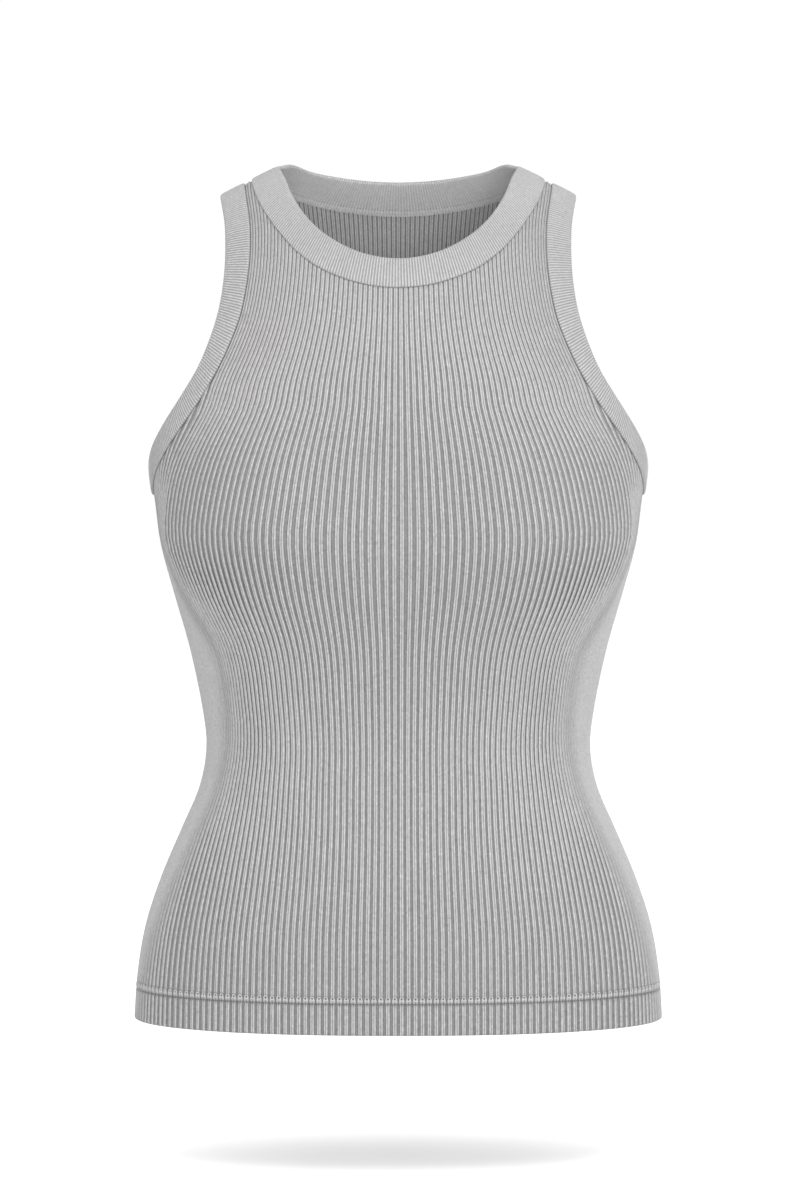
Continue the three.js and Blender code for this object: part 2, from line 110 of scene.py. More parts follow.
def reach(x, z, side):
    """How far the form stands out before it curves away to the side and the shoulder."""
    bump = np.exp(-((np.abs(x) - BUST_X) / BUST_WIDE) ** 2 - ((z - BUST_Z) / BUST_TALL) ** 2)
    front = section("front", z) + BUST_RISE * bump
    return np.where(side < 0, front, section("back", z))


def on_form(x, z, side):
    """Points of the form at given x and z, on its front (-1) or back (1)."""
    wide = np.minimum(np.abs(x) / section("half", z), 1)
    s = np.clip((ridge_z(x) - z) / SHOULDER_ROUND, 0, 1)
    y = side * reach(x, z, side) * np.sqrt((2 * s - s * s) * (1 - wide ** SQUARENESS))
    return np.stack([x, y, z], -1)


def form_level(p):
    """Zero on the form and more outside it."""
    x, y, z = p[..., 0], p[..., 1], p[..., 2]
    side = np.where(y > 0, 1, -1)
    s = np.minimum((ridge_z(x) - z) / SHOULDER_ROUND, 1)
    wide = np.abs(x) / section("half", z)
    return (y / reach(x, z, side)) ** 2 - (2 * s - s * s) * (1 - wide ** SQUARENESS)


def form_gradient(p):
    h = 0.05
    steps = np.eye(3) * h
    return np.stack([(form_level(p + e) - form_level(p - e)) / (2 * h) for e in steps], -1)


def outward(p):
    """The direction in which the cloth is thick."""
    g = form_gradient(p)
    return g / np.linalg.norm(g, axis=-1, keepdims=True)


def onto_form(p):
    for _ in range(PRESS_STEPS):
        g = form_gradient(p)
        p = p - g * (form_level(p) / (g * g).sum(-1))[..., None]
    return p


bust_half, waist_half = section("half", np.array([BUST_Z, WAIST_Z]))
print(f"half of the width: {bust_half:.0f} mm at the bust and {waist_half:.0f} mm at the waist")

# %% [markdown]
# The seams. A maker marks each seam and each free edge as a smooth line through a few points on the form.
# Each line is a closed curve: down the front of the armhole or the neck and up its back. The curve is
# measured and cut into even steps, and each step is pressed back onto the form, so that a panel and its
# band meet along the very same line.

# %% The seam lines and the free edges
# The x at which the armhole lines cross the shoulder, and the z at which they cross the side. Below, each
# pair is an x and a z on the front or the back.
ARM_SEAM_X, ARM_EDGE_X = 94.2, 109.3
ARM_SEAM_SIDE_Z, ARM_EDGE_SIDE_Z = -201.5, -183
NECK_SEAM_FRONT = [(85.4, -23.2), (77.3, -37.3), (69.7, -47.7), (61, -57.6),
                   (48.5, -67.6), (35, -74.3), (18, -79.4), (0, -81)]
NECK_EDGE_FRONT = [(68.7, -9.9), (63.4, -22.8), (55.2, -36), (44.1, -47.2),
                   (29.6, -56.4), (14.6, -61.6), (0, -63.2)]
NECK_SEAM_BACK = [(82, -8.6), (66, -14.2), (44, -18.8), (22, -21.3), (0, -22.2)]
NECK_EDGE_BACK = [(66.5, 2), (54, 0.2), (37, -1.9), (19, -3.3), (0, -3.8)]
ARM_SEAM = [(90.3, -34.3), (89.1, -55.2), (90.4, -75), (94.4, -97), (100.6, -114), (108.8, -131),
            (118.2, -146.5), (128, -160.3), (137.6, -173.2), (145.2, -185.4)]
ARM_EDGE = [(105.9, -34.7), (104.3, -54.4), (104.8, -73.5), (107.4, -92), (112.6, -110), (120, -127.5),
            (129.6, -143), (139.6, -157.6), (147.6, -170.2)]
FRONT, BACK = -1, 1
MIRROR_X = np.array([-1, 1, 1])
EDGE_SAMPLES = 480
print(f"points along the front: armhole seam {len(ARM_SEAM)}, half of the neck seam {len(NECK_SEAM_FRONT)}")

# %% Closed curves on the form


def side_points(rows, side):
    rows = np.array(rows, float)
    return on_form(rows[:, 0], rows[:, 1], np.full(len(rows), side))


def ridge_point(x):
    return np.array([[x, 0, ridge_z(x)]])


def arm_loop(rows, ridge_x, side_z):
    bottom = np.array([[section("half", np.array(float(side_z))), 0, side_z]])
    front, back = side_points(rows, FRONT), side_points(rows, BACK)[::-1]
    return np.concatenate([ridge_point(ridge_x), front, bottom, back])


def neck_loop(front_rows, back_rows, ridge_x):
    front, back = side_points(front_rows, FRONT), side_points(back_rows, BACK)[::-1]
    far_front = front[:-1][::-1] * MIRROR_X
    far_back = back[1:][::-1] * MIRROR_X
    return np.concatenate([ridge_point(ridge_x), front, far_front, ridge_point(-ridge_x), far_back, back])


def loop_points(knots, at):
    """Points of a closed smooth curve through the knots, at places counted in knots."""
    count = len(knots)
    i = np.floor(at).astype(int)
    w = (at - i)[:, None]
    p = [knots[(i + k) % count] for k in (-1, 0, 1, 2)]
    d = [np.sqrt(np.linalg.norm(p[k + 1] - p[k], axis=1))[:, None] for k in range(3)]
    t1 = ((p[1] - p[0]) / d[0] - (p[2] - p[0]) / (d[0] + d[1]) + (p[2] - p[1]) / d[1]) * d[1]
    t2 = ((p[2] - p[1]) / d[1] - (p[3] - p[1]) / (d[1] + d[2]) + (p[3] - p[2]) / d[2]) * d[1]
    c2 = 3 * (p[2] - p[1]) - 2 * t1 - t2
    c3 = 2 * (p[1] - p[2]) + t1 + t2
    return p[1] + w * (t1 + w * (c2 + w * c3))


def along_path(path, goals):
    """Points at given distances along a polyline."""
    steps = np.linalg.norm(np.diff(path, axis=0), axis=1)
    length = np.concatenate([[0], np.cumsum(steps)])
    goals = np.asarray(goals) * length[-1]
    return np.stack([np.interp(goals, length, path[:, k]) for k in range(3)], -1)


def even_run(knots, start, end, count):
    """Evenly spaced points along a part of a loop."""
    path = onto_form(loop_points(knots, np.linspace(start, end, EDGE_SAMPLES + 1)))
    return onto_form(along_path(path, np.linspace(0, 1, count + 1)))

# %% Lay the four lines
ARM_RIB = 36  # the rib that runs up along the armhole seam
NECK_CORNER_RIB = 33  # the rib at which the neck seam meets the shoulder seam


def fan_share(ribs, fan):
    """Share of the armhole rib's distance from the middle at which another rib lies."""
    return np.sin(fan * ribs / ARM_RIB) / np.sin(fan)


NECK_SEAM_X = ARM_SEAM_X * fan_share(NECK_CORNER_RIB, 1)
arm_seam = arm_loop(ARM_SEAM, ARM_SEAM_X, ARM_SEAM_SIDE_Z)
arm_edge = arm_loop(ARM_EDGE, ARM_EDGE_X, ARM_EDGE_SIDE_Z)
neck_seam = neck_loop(NECK_SEAM_FRONT, NECK_SEAM_BACK, NECK_SEAM_X)
neck_edge = neck_loop(NECK_EDGE_FRONT, NECK_EDGE_BACK, NECK_EDGE_X)


def loop_length(knots):
    path = loop_points(knots, np.linspace(0, len(knots), 4 * EDGE_SAMPLES))
    return np.linalg.norm(np.diff(path, axis=0), axis=1).sum()


for label, knots in (("neck seam", neck_seam), ("neck edge", neck_edge),
                     ("arm seam", arm_seam), ("arm edge", arm_edge)):
    print(f"{label}: {loop_length(knots):.0f} mm round")

# %% [markdown]
# Where the ribs run. Rib knit is cut with its ribs upright, and every rib is one unbroken column of
# stitches from the hem to the seam that cuts it off. Each panel has a hundred ribs. They are counted from
# the middle line, so a place on the cloth is a rib count and a height. Ribs crowd where the cloth is
# relaxed, at the upper chest and the waist, and stand apart where it is stretched, at the bust and the
# hem. Following the ribs, and not a square grid, keeps each one whole and lets the seams cut them cleanly.

# %% The chart of one panel
PANEL_RIBS = 50  # ribs from the middle of a panel to the side seam
ARM_LEAVE_Z = -125  # below this the armhole seam cuts across the ribs
ARM_BLEND = 30  # height over which the armhole rib swings over to the seam
MIDDLE_ROW_Z = -162  # where the row that parts the lower cloth from the upper crosses the middle line
HEM_Z = -525
WALK_PARTS = 60  # steps from the armhole rib to the side seam
TOP_STEPS = 20  # steps that find where a rib meets the shoulder seam
CHART_STEP = 0.5  # ribs between two columns of the chart


class Panel:
    """The rules of one panel: where each rib runs, and where the seams cut it off."""

    def __init__(self, side):
        self.side = side
        rows = len(ARM_SEAM) + 1
        if side == FRONT:
            run = even_run(arm_seam, 0, rows, EDGE_SAMPLES)
        else:
            run = even_run(arm_seam, rows, 2 * rows, EDGE_SAMPLES)[::-1]
        self.seam_z, self.seam_x = run[::-1, 2], run[::-1, 0]
        low = run[run[:, 2] < ARM_LEAVE_Z]
        length, x = self.side_walk(low[:, 2])
        done = np.array([np.interp(p, xs, ls) for p, xs, ls in zip(low[:, 0], x, length)])
        ribs = ARM_RIB + done / length[:, -1] * (PANEL_RIBS - ARM_RIB)
        self.cut_ribs = np.concatenate([[ARM_RIB], ribs, [PANEL_RIBS]])
        self.cut_z = np.concatenate([[ARM_LEAVE_Z], low[:, 2], [ARM_SEAM_SIDE_Z]])
        corner, count = len(NECK_SEAM_FRONT), len(neck_seam)
        if side == FRONT:
            neck = even_run(neck_seam, corner, 0, EDGE_SAMPLES)
        else:
            neck = even_run(neck_seam, count - len(NECK_SEAM_BACK), count, EDGE_SAMPLES)
        share = np.maximum(neck[:, 0], 0) / self.arm_rib_x(neck[:, 2])
        fan = section("fan", neck[:, 2])
        self.neck_ribs = ARM_RIB * np.arcsin(np.minimum(share, 1) * np.sin(fan)) / fan
        self.neck_z = neck[:, 2]

    def arm_rib_x(self, z):
        t = np.clip((z - ARM_LEAVE_Z + ARM_BLEND) / ARM_BLEND, 0, 1)
        t = t * t * (3 - 2 * t)
        return section("arm_rib", z) * (1 - t) + np.interp(z, self.seam_z, self.seam_x) * t

    def side_walk(self, z):
        """Distances along the cloth from the armhole rib to the side seam, and the x at each."""
        half = section("half", z)[:, None]
        start = np.arcsin(self.arm_rib_x(z)[:, None] / half)
        x = half * np.sin(start + (math.pi / 2 - start) * np.linspace(0, 1, WALK_PARTS + 1))
        p = on_form(x, np.broadcast_to(z[:, None], x.shape), self.side)
        steps = np.linalg.norm(np.diff(p, axis=1), axis=2)
        return np.concatenate([np.zeros((len(z), 1)), np.cumsum(steps, 1)], 1), x

    def rib_x(self, ribs, z):
        """The x of any rib at any height, both flat lists."""
        inner = self.arm_rib_x(z) * fan_share(np.minimum(ribs, ARM_RIB), section("fan", z))
        x = inner.copy()
        far = np.nonzero(ribs > ARM_RIB)[0]
        if len(far):
            length, xs = self.side_walk(z[far])
            goal = (ribs[far] - ARM_RIB) / (PANEL_RIBS - ARM_RIB) * length[:, -1]
            k = np.clip((length < goal[:, None]).sum(1) - 1, 0, WALK_PARTS - 1)
            n = np.arange(len(far))
            t = (goal - length[n, k]) / (length[n, k + 1] - length[n, k])
            x[far] = xs[n, k] + (xs[n, k + 1] - xs[n, k]) * np.clip(t, 0, 1)
        return x

    def at(self, ribs, z):
        """Points of the form by rib count and height."""
        shape = ribs.shape
        ribs, z = ribs.ravel(), z.ravel()
        return on_form(self.rib_x(ribs, z), z, self.side).reshape(*shape, 3)

    def pitch(self, ribs, z):
        """Width of one rib, measured along the cloth."""
        low = np.clip(ribs - 0.5, 0, PANEL_RIBS - 1)
        return np.linalg.norm(self.at(low + 1, z) - self.at(low, z), axis=-1)

    def top_z(self, ribs):
        z = np.full(ribs.shape, float(ridge_z(ARM_SEAM_X)))
        for _ in range(TOP_STEPS):
            z = ridge_z(ARM_SEAM_X * fan_share(ribs, section("fan", z)))
        return np.where(ribs < NECK_CORNER_RIB, np.interp(ribs, self.neck_ribs, self.neck_z), z)

    def middle_z(self, ribs):
        inside = MIDDLE_ROW_Z + (ARM_LEAVE_Z - MIDDLE_ROW_Z) * (ribs / ARM_RIB) ** 2
        return np.where(ribs > ARM_RIB, np.interp(ribs, self.cut_ribs, self.cut_z), inside)


panels = {"front_panel": Panel(FRONT), "back_panel": Panel(BACK)}
for name, rules in panels.items():
    for z in (-100, BUST_Z, WAIST_Z, -500):
        pitch = rules.pitch(np.array([1.5]), np.array([float(z)]))[0]
        print(f"{name}: a rib is {pitch:.2f} mm wide at z {z}")

# %% [markdown]
# Rows of points across the ribs. A smooth stretch of cloth needs a row every few millimetres, but a hem
# needs them close: round the fold, at the groove under the stitches and at the stitches themselves. The
# rows are set by distances along each rib. The first ones are counted from the fold and the last ones
# from the seam, and the others are spread evenly between.

# %% Rows along the ribs
WALL = 1.3  # one layer of the knit, up to the valleys of the ribs
HEM_STITCH = 22.1  # height of the row of needle holes above the fold
HEM_PITCH = 4.1  # width of a rib at the hem
HEM_ROWS = [0, 0.35, 1.1, 3, 7, 12, 16.5, 17.7, 18.4, 19.1, 20, 20.9, 21.5, 22.1, 22.8, 23.8, 26]
SEAM_ROWS = [3.2, 1.9, 0.9, 0]
LOWER_PARTS, UPPER_PARTS = 40, 27  # even steps below and above the row that parts the cloth
PATH_SAMPLES = 160  # points at which the length along a rib is measured


def row_heights(rules, ribs, low_z, high_z, head, parts, tail):
    """Height of each row on each rib of the chart."""
    t = np.linspace(0, 1, PATH_SAMPLES + 1)
    t = 1 - (1 - t) ** 2  # closer towards the top, where the shoulder rolls over
    z = low_z + (high_z - low_z) * t[:, None]
    p = rules.at(np.broadcast_to(ribs, z.shape), z)
    steps = np.linalg.norm(np.diff(p, axis=0), axis=2)
    length = np.concatenate([np.zeros((1, len(ribs))), np.cumsum(steps, 0)])
    columns = []
    for j in range(len(ribs)):
        whole = length[-1, j]
        middle = np.linspace(head[-1], whole - tail[0], parts + 1)[1:-1]
        goals = np.concatenate([head, middle, whole - np.array(tail)])
        columns.append(np.interp(goals, length[:, j], z[:, j]))
    return np.stack(columns, 1)


def chart_of(rules):
    low_ribs = np.arange(0, PANEL_RIBS + CHART_STEP, CHART_STEP)
    high_ribs = np.arange(0, ARM_RIB + CHART_STEP, CHART_STEP)
    low = row_heights(rules, low_ribs, HEM_Z, rules.middle_z(low_ribs), HEM_ROWS, LOWER_PARTS, SEAM_ROWS)
    high = row_heights(rules, high_ribs, rules.middle_z(high_ribs), rules.top_z(high_ribs),
                       [0.0], UPPER_PARTS, SEAM_ROWS)
    return {"low_ribs": low_ribs, "low": low, "high_ribs": high_ribs, "high": high[1:]}


charts = {name: chart_of(rules) for name, rules in panels.items()}
for name, chart in charts.items():
    print(f"{name}: {len(chart['low'])} rows up to the armholes and {len(chart['high'])} above")

# %% [markdown]
# A panel as a knitted wall. Two by two rib looks alike on both sides: two columns of stitches stand up
# outside, and between them two stand up inside. So the outer skin has its ribs between the whole counts and
# the inner skin has its ribs on them. Each skin gets six or four points across a rib, closer to the valley
# where the cloth is relaxed. The wall is first made smooth, and each point keeps what the next step needs:
# its rib count, the share of the rib that stands up, how much relief it may have, which way is out, how much
# painted shade it takes in a needle hole, a dent or beside a band, and how far its rib has closed up beside
# the waist, by which the finish also paints its valley darker as shade.

# %% The columns across one rib
RIDGE_WIDE = 2.35  # the two columns of stitches that stand up
SHARE_MIN, SHARE_MAX = 0.53, 0.74  # least and largest share of a rib that stands up
SLOPE_SHARE = 0.17  # share of a rib over which its side slopes
CLOSING = 0.1  # how much more of the width the ribs take where they close up
CLOSING_RIBS = (9, 30)  # they close up from the first of these ribs to the second
CLOSING_FROM = (-222, -262)  # going down, they begin and have ended to close up at these heights
OPENING_FROM = (-340, -480)  # and open again between these
OPENING = 0.85  # by this share


def smooth_step(low, high, value):
    t = np.clip((value - low) / (high - low), 0, 1)
    return t * t * (3 - 2 * t)


def rib_offsets(share, outer):
    """Places of the points across one rib, from its valley outside, or from its ridge inside."""
    valley = (1 - share) / 2
    flank = valley + SLOPE_SHARE
    whole = np.zeros_like(share)
    if outer:
        return [whole, valley, flank, whole + 0.5, 1 - flank, 1 - valley]
    return [whole, 0.5 - valley, whole + 0.5, 0.5 + valley]


def closed_up(ribs, z):
    """How far the ribs close up: towards the sides, below the bust, where nothing stretches the cloth."""
    across = smooth_step(*CLOSING_RIBS, np.abs(ribs))
    return across * smooth_step(*CLOSING_FROM, z) * (1 - OPENING * smooth_step(*OPENING_FROM, z))


print(f"closed up at the waist, beside the flat strip: {closed_up(CLOSING_RIBS[1], WAIST_Z):.2f}")

# %% The grid of points of one skin


def half_skin(rules, z_rows, chart_ribs, rib_count, outer):
    """Rib count and height of every point from the middle line to the last rib."""
    ribs = np.arange(rib_count)
    z_mid = np.stack([np.interp(ribs + 0.5, chart_ribs, row) for row in z_rows])
    across = np.broadcast_to(ribs + 0.5, z_mid.shape)
    share = RIDGE_WIDE / rules.pitch(across, z_mid) + CLOSING * closed_up(across, z_mid)
    share = np.clip(share, SHARE_MIN, SHARE_MAX)
    columns = np.stack(rib_offsets(share, outer), -1) + ribs[:, None]
    columns = columns.reshape(len(z_rows), -1)
    share = np.repeat(share, columns.shape[1] // rib_count, axis=1)
    columns = np.concatenate([columns, np.full((len(z_rows), 1), float(rib_count))], 1)
    share = np.concatenate([share, share[:, -1:]], 1)
    z = np.stack([np.interp(u, chart_ribs, row) for u, row in zip(columns, z_rows)])
    return columns, z, share


def whole_row(values, odd=False):
    """A half row and its mirror image, from the last rib on the left to the last on the right."""
    far = values[:, :0:-1]
    return np.concatenate([-far if odd else far, values], 1)


def rib_lengths(p):
    """Distance of each point from the first row, measured along its rib."""
    steps = np.linalg.norm(np.diff(p, axis=0), axis=2)
    return np.concatenate([np.zeros((1, p.shape[1])), np.cumsum(steps, 0)])


def skin_fields(rules, chart, outer):
    """All points of one skin as flat lists, and the index of each place in its two grids."""
    parts = []
    for key, count in (("low", PANEL_RIBS), ("high", ARM_RIB)):
        ribs, z, share = half_skin(rules, chart[key], chart[key + "_ribs"], count, outer)
        half = rules.at(ribs, z)
        p = np.stack([whole_row(half[..., axis], odd=axis == 0) for axis in range(3)], -1)
        parts.append({"p": p, "ribs": whole_row(ribs, odd=True), "share": whole_row(share)})
    low, high = parts
    low["v"] = rib_lengths(low["p"])
    skip = (low["ribs"].shape[1] - high["ribs"].shape[1]) // 2
    width = high["ribs"].shape[1]
    foot = low["p"][-1:, skip:skip + width]
    high["v"] = low["v"][-1, skip:skip + width] + rib_lengths(np.concatenate([foot, high["p"]]))[1:]
    index_low = np.arange(low["ribs"].size).reshape(low["ribs"].shape)
    index_high = index_low.size + np.arange(high["ribs"].size).reshape(high["ribs"].shape)
    index_high = np.concatenate([index_low[-1:, skip:skip + width], index_high])
    flat = {key: np.concatenate([low[key].ravel(), high[key].ravel()]) for key in ("ribs", "share", "v")}
    flat["p"] = np.concatenate([low["p"].reshape(-1, 3), high["p"].reshape(-1, 3)])
    return flat, index_low, index_high


def grid_quads(index):
    return np.stack([index[:-1, :-1], index[:-1, 1:], index[1:, 1:], index[1:, :-1]], -1).reshape(-1, 4)


EDGE_RUNS = 8  # the open edge of a skin is made up of so many runs


def boundary(index_low, index_high):
    """The skin's open edge once round: its points, their kinds, and places that both skins count alike."""
    skip = (index_low.shape[1] - index_high.shape[1]) // 2
    runs = [
        (index_low[0, :], "hem"),
        (index_low[1:, -1], "side"),
        (index_low[-1, -2:-2 - skip:-1], "arm"),
        (index_high[1:, -1], "arm"),
        (index_high[-1, -2::-1], "neck"),
        (index_high[-2::-1, 0], "arm"),
        (index_low[-1, skip - 1::-1], "arm"),
        (index_low[-2:0:-1, 0], "side"),
    ]
    ids, kinds, places = [], [], []
    for n, (run, kind) in enumerate(runs):
        ids.extend(run)
        kinds.extend([kind] * len(run))
        places.extend(n + np.arange(1, len(run) + 1) / (len(run) + 1))
    return np.array(ids), np.array(kinds), np.array(places)


def tree_of(points):
    tree = kdtree.KDTree(len(points))
    for i, p in enumerate(points):
        tree.insert(p, i)
    tree.balance()
    return tree


def nearest(tree, points):
    found = [tree.find(p) for p in points]
    return np.array([f[0] for f in found]), np.array([f[2] for f in found])

# %% The nearest points of the seams and free edges
fine = {key: onto_form(loop_points(knots, np.linspace(0, len(knots), 3 * EDGE_SAMPLES, endpoint=False)))
        for key, knots in (("neck_seam", neck_seam), ("neck_edge", neck_edge),
                           ("arm_seam", arm_seam), ("arm_edge", arm_edge))}
seam_tree = tree_of(np.concatenate([fine["neck_seam"], fine["arm_seam"], fine["arm_seam"] * MIRROR_X]))
edge_trees = {"neck": tree_of(fine["neck_edge"]),
              "arm": tree_of(np.concatenate([fine["arm_edge"], fine["arm_edge"] * MIRROR_X]))}
print(f"{len(fine)} lines of {len(fine['neck_seam'])} points each")

# %% [markdown]
# The wall of a panel closes on itself: the outer skin, the inner skin, and an edge that joins them. Along
# the bands the edge runs on a little way under the band, as a sewn seam does, so no light comes through.
# At the hem the wall has two layers and a round fold. The edge strips of the two skins hold different
# numbers of points, so they are joined like a zip: always step along the side that lags behind.

# %% The profile of the hem, the seams and the sides
RIB_RISE, INNER_RISE = 0.8, 0.45  # how far the ribs stand up outside and inside
INNER_VALLEY = 0.4  # height of the valleys inside above the form
# The ribs fade out beside the side seam, over the strip that the form pulls flat: heights, and first rib.
FLAT_AT = [-525, -440, -390, -300, -240, -200]
FLAT_FROM = [41, 35.5, 32, 31.5, 36.5, 42]
FLAT_FADE = 8  # over so many ribs they fade
SIDE_SINK, SIDE_SINK_RIBS = 0.5, 0.5  # how far the cloth dips to the side seam, and over how much of a rib
SEAM_SINK, SEAM_NEAR = 0.25, 1.9  # how far it dips where it runs under a band, and from how far off
SEAM_FLAT_OUTSIDE, SEAM_FLAT_INSIDE = 0.7, 0.6  # share of the ribs' rise that is lost there
GAP_SHADE, GAP_NEAR, GAP_EDGE = 0.8, 1.6, 0.1  # painted shade in the gap between a valley and the band that bridges it
TUCK, TUCK_SHARE = 2.2, 0.2  # how far a panel runs under its bands, and at most this share of their width
HALF_SLIT = 0.08  # half of the slit between the two panels at the side and shoulder seams
SLIT_SHARE = 0.4  # share of the slit that is left in the middle of the wall
FOLD_DROP = 0.6  # how far the fold of the hem bulges downwards

HEM_PROFILE_AT = [0, 0.35, 1.1, 3, 16.5, 17.7, 18.4, 19.1, 20, 20.9, 21.5, 22.1, 22.8, 23.8, 26]
HEM_OUTER = [-0.45, -0.1, 0, 0, 0, -0.05, -0.45, -0.05, 0.2, 0.2, 0.05, -0.1, 0, 0, 0]
HEM_RIBS = [0.7, 0.95, 1, 1, 1, 0.9, 0.35, 0.55, 0.55, 0.6, 0.7, 0.75, 0.9, 1, 1]
HEM_BAR = [0, 0, 0, 0, 0, 0, 0.1, 0.3, 0.42, 0.36, 0.15, 0, 0, 0, 0]  # cloth pressed flat by the stitches
HEM_DENT_SHADE = [0, 0, 0, 0, 0, 0.35, 0.95, 0.4, 0, 0, 0, 0, 0, 0, 0]  # painted shade in the dents below the bar
DENT_EASES = 0.9  # how much a dent's painted shade eases from the middle of a rib to its valley
HOLE_DEPTH = 1.2  # how far a needle hole sinks into its rib, in rib heights
HOLE_WIDE, HOLE_TALL = 0.7, 0.85
BAR_SHARE = 1.25  # so wide a rib covers its valley too
HEM_INNER_AT = [0, 0.35, 1.1, 3, 19.1, 20, 20.9, 21.5, 22.8]
HEM_INNER = [-0.6, -1.05, -1.25, -1.3, -1.3, -1.25, -0.9, -0.15, 0]
# Height of a skin's edge above the form, for the outer skin and for the inner skin.
EDGE_OUT = {"band": (0.9, 0.3), "slit": (0.65, 0.5), "hem": (-0.05, -0.55)}
print(f"the turned-up hem is held {HEM_STITCH} mm above its fold")

# %% Heights, relief and painted pit shade of the two skins


def outer_skin(ribs, share, above_hem, seam_far, side_fade):
    """Height above the form, relief, painted shade in a pit and share of the rib, at every point outside."""
    near = 1 - smooth_step(0, SEAM_NEAR, seam_far)
    out = WALL - SEAM_SINK * near + np.interp(above_hem, HEM_PROFILE_AT, HEM_OUTER)
    out -= SIDE_SINK * (1 - smooth_step(0, SIDE_SINK_RIBS, PANEL_RIBS - np.abs(ribs)))
    relief = np.interp(above_hem, HEM_PROFILE_AT, HEM_RIBS) * side_fade * (1 - SEAM_FLAT_OUTSIDE * near)
    off_centre = np.abs(np.abs(ribs) % 1 - 0.5)
    hole = np.exp(-(off_centre * HEM_PITCH / HOLE_WIDE) ** 2 - ((above_hem - HEM_STITCH) / HOLE_TALL) ** 2)
    relief -= HOLE_DEPTH * hole
    # Needle holes, the dents below the bar and the gap beside a band get painted shade.
    dent_shade = np.interp(above_hem, HEM_PROFILE_AT, HEM_DENT_SHADE) * (1 - DENT_EASES * off_centre)
    gap_shade = smooth_step(0, GAP_EDGE, off_centre - share / 2) * (1 - smooth_step(0, GAP_NEAR, seam_far))
    pit_shade = np.maximum(np.maximum(hole, dent_shade), GAP_SHADE * gap_shade)
    share = share + (BAR_SHARE - share) * np.interp(above_hem, HEM_PROFILE_AT, HEM_BAR)
    return out, relief, pit_shade, share


def inner_skin(share, above_hem, seam_far, side_fade):
    """The same inside, where there are no pits."""
    near = 1 - smooth_step(0, SEAM_NEAR, seam_far)
    out = INNER_VALLEY + np.interp(above_hem, HEM_INNER_AT, HEM_INNER)
    relief = INNER_RISE / RIB_RISE * side_fade * (1 - SEAM_FLAT_INSIDE * near)
    return out, relief, relief * 0, share

# %% One skin with its edge


def edge_strip(p, ribs, ids, kinds, outer):
    """The edge runs on under the bands, into the slits and round the hem: its points and its outward."""
    strip = p[ids].copy()
    for kind in ("neck", "arm"):
        chosen = np.nonzero(kinds == kind)[0]
        target, _ = nearest(edge_trees[kind], p[ids[chosen]])
        step = target - p[ids[chosen]]
        length = np.linalg.norm(step, axis=1, keepdims=True)
        strip[chosen] = p[ids[chosen]] + step / length * np.minimum(TUCK, length * TUCK_SHARE)
    strip[kinds == "side", 1] *= SLIT_SHARE
    strip[kinds == "hem", 2] -= FOLD_DROP
    shoulder = (kinds == "neck") & (np.abs(ribs[ids]) > NECK_CORNER_RIB + 0.01)
    strip[shoulder] = p[ids[shoulder]] * [1, SLIT_SHARE, 1]
    normal = outward(strip)
    column = 0 if outer else 1
    out = np.full(len(ids), EDGE_OUT["band"][column])
    out[shoulder | (kinds == "side")] = EDGE_OUT["slit"][column]
    out[kinds == "hem"] = EDGE_OUT["hem"][column]
    return strip, strip + normal * out[:, None], normal


def skin(rules, chart, outer):
    """One skin with its edge strip: its fields, its quads, and the end of the strip."""
    flat, index_low, index_high = skin_fields(rules, chart, outer)
    p, ribs, share = flat["p"], flat["ribs"], flat["share"]
    p[:, 1] = rules.side * np.maximum(np.abs(p[:, 1]), HALF_SLIT)
    above_hem = p[:, 2] - HEM_Z
    _, seam_far = nearest(seam_tree, p)
    flat_strip = smooth_step(0, FLAT_FADE, np.abs(ribs) - np.interp(p[:, 2], FLAT_AT, FLAT_FROM))
    normal = outward(p)
    if outer:
        out, relief, pit_shade, share = outer_skin(ribs, share, above_hem, seam_far, 1 - flat_strip)
    else:
        out, relief, pit_shade, share = inner_skin(share, above_hem, seam_far, 1 - flat_strip)
    away = 1 if outer else -1
    ids, kinds, places = boundary(index_low, index_high)
    strip, strip_p, strip_normal = edge_strip(p, ribs, ids, kinds, outer)

    ring = len(p) + np.arange(len(ids))
    following = np.roll(np.arange(len(ids)), -1)
    strip_quads = np.stack([ids[following], ids, ring, ring[following]], -1)
    quads = np.concatenate([grid_quads(index_low), grid_quads(index_high), strip_quads])
    pairs = {
        "p": (p + normal * out[:, None], strip_p),
        "ribs": (ribs, ribs[ids]),
        "v": (flat["v"], flat["v"][ids]),
        "share": (share, share[ids]),
        "relief": (relief, relief[ids] * 0),
        "plain": (flat_strip, flat_strip[ids]),
        "pit_shade": (pit_shade, pit_shade[ids] * 0),
        # The finish paints a valley darker, as shade, as far as its rib has closed up.
        "closed": (closed_up(ribs, p[:, 2]), closed_up(ribs[ids], strip[:, 2])),
        "facing": (normal * away, strip_normal * away),
    }
    return {key: np.concatenate(pair) for key, pair in pairs.items()}, quads, ring, places

# %% Join two skins, and keep them as a mesh


def zip_edges(one, one_at, other, other_at):
    """Triangles between two closed edges, by always stepping the one that lags."""
    faces, i, j = [], 0, 0
    n, m = len(one), len(other)
    one_at = np.append(one_at, one_at[0] + EDGE_RUNS)
    other_at = np.append(other_at, other_at[0] + EDGE_RUNS)
    while i < n or j < m:
        if j == m or (i < n and one_at[i + 1] <= other_at[j + 1]):
            faces.append((one[i % n], one[(i + 1) % n], other[j % m]))
            i += 1
        else:
            faces.append((one[i % n], other[(j + 1) % m], other[j % m]))
            j += 1
    return faces


def set_down(name, data):
    """An object of some data, in the scene."""
    obj = bpy.data.objects.new(name, data)
    bpy.context.scene.collection.objects.link(obj)
    return obj


def keep_fields(mesh, fields):
    """Gives the points of a mesh their fields as attributes."""
    for key, values in fields.items():
        vector = values.ndim == 2
        data = mesh.attributes.new(key, "FLOAT_VECTOR" if vector else "FLOAT", "POINT").data
        data.foreach_set("vector" if vector else "value", values.astype(np.float32).ravel())


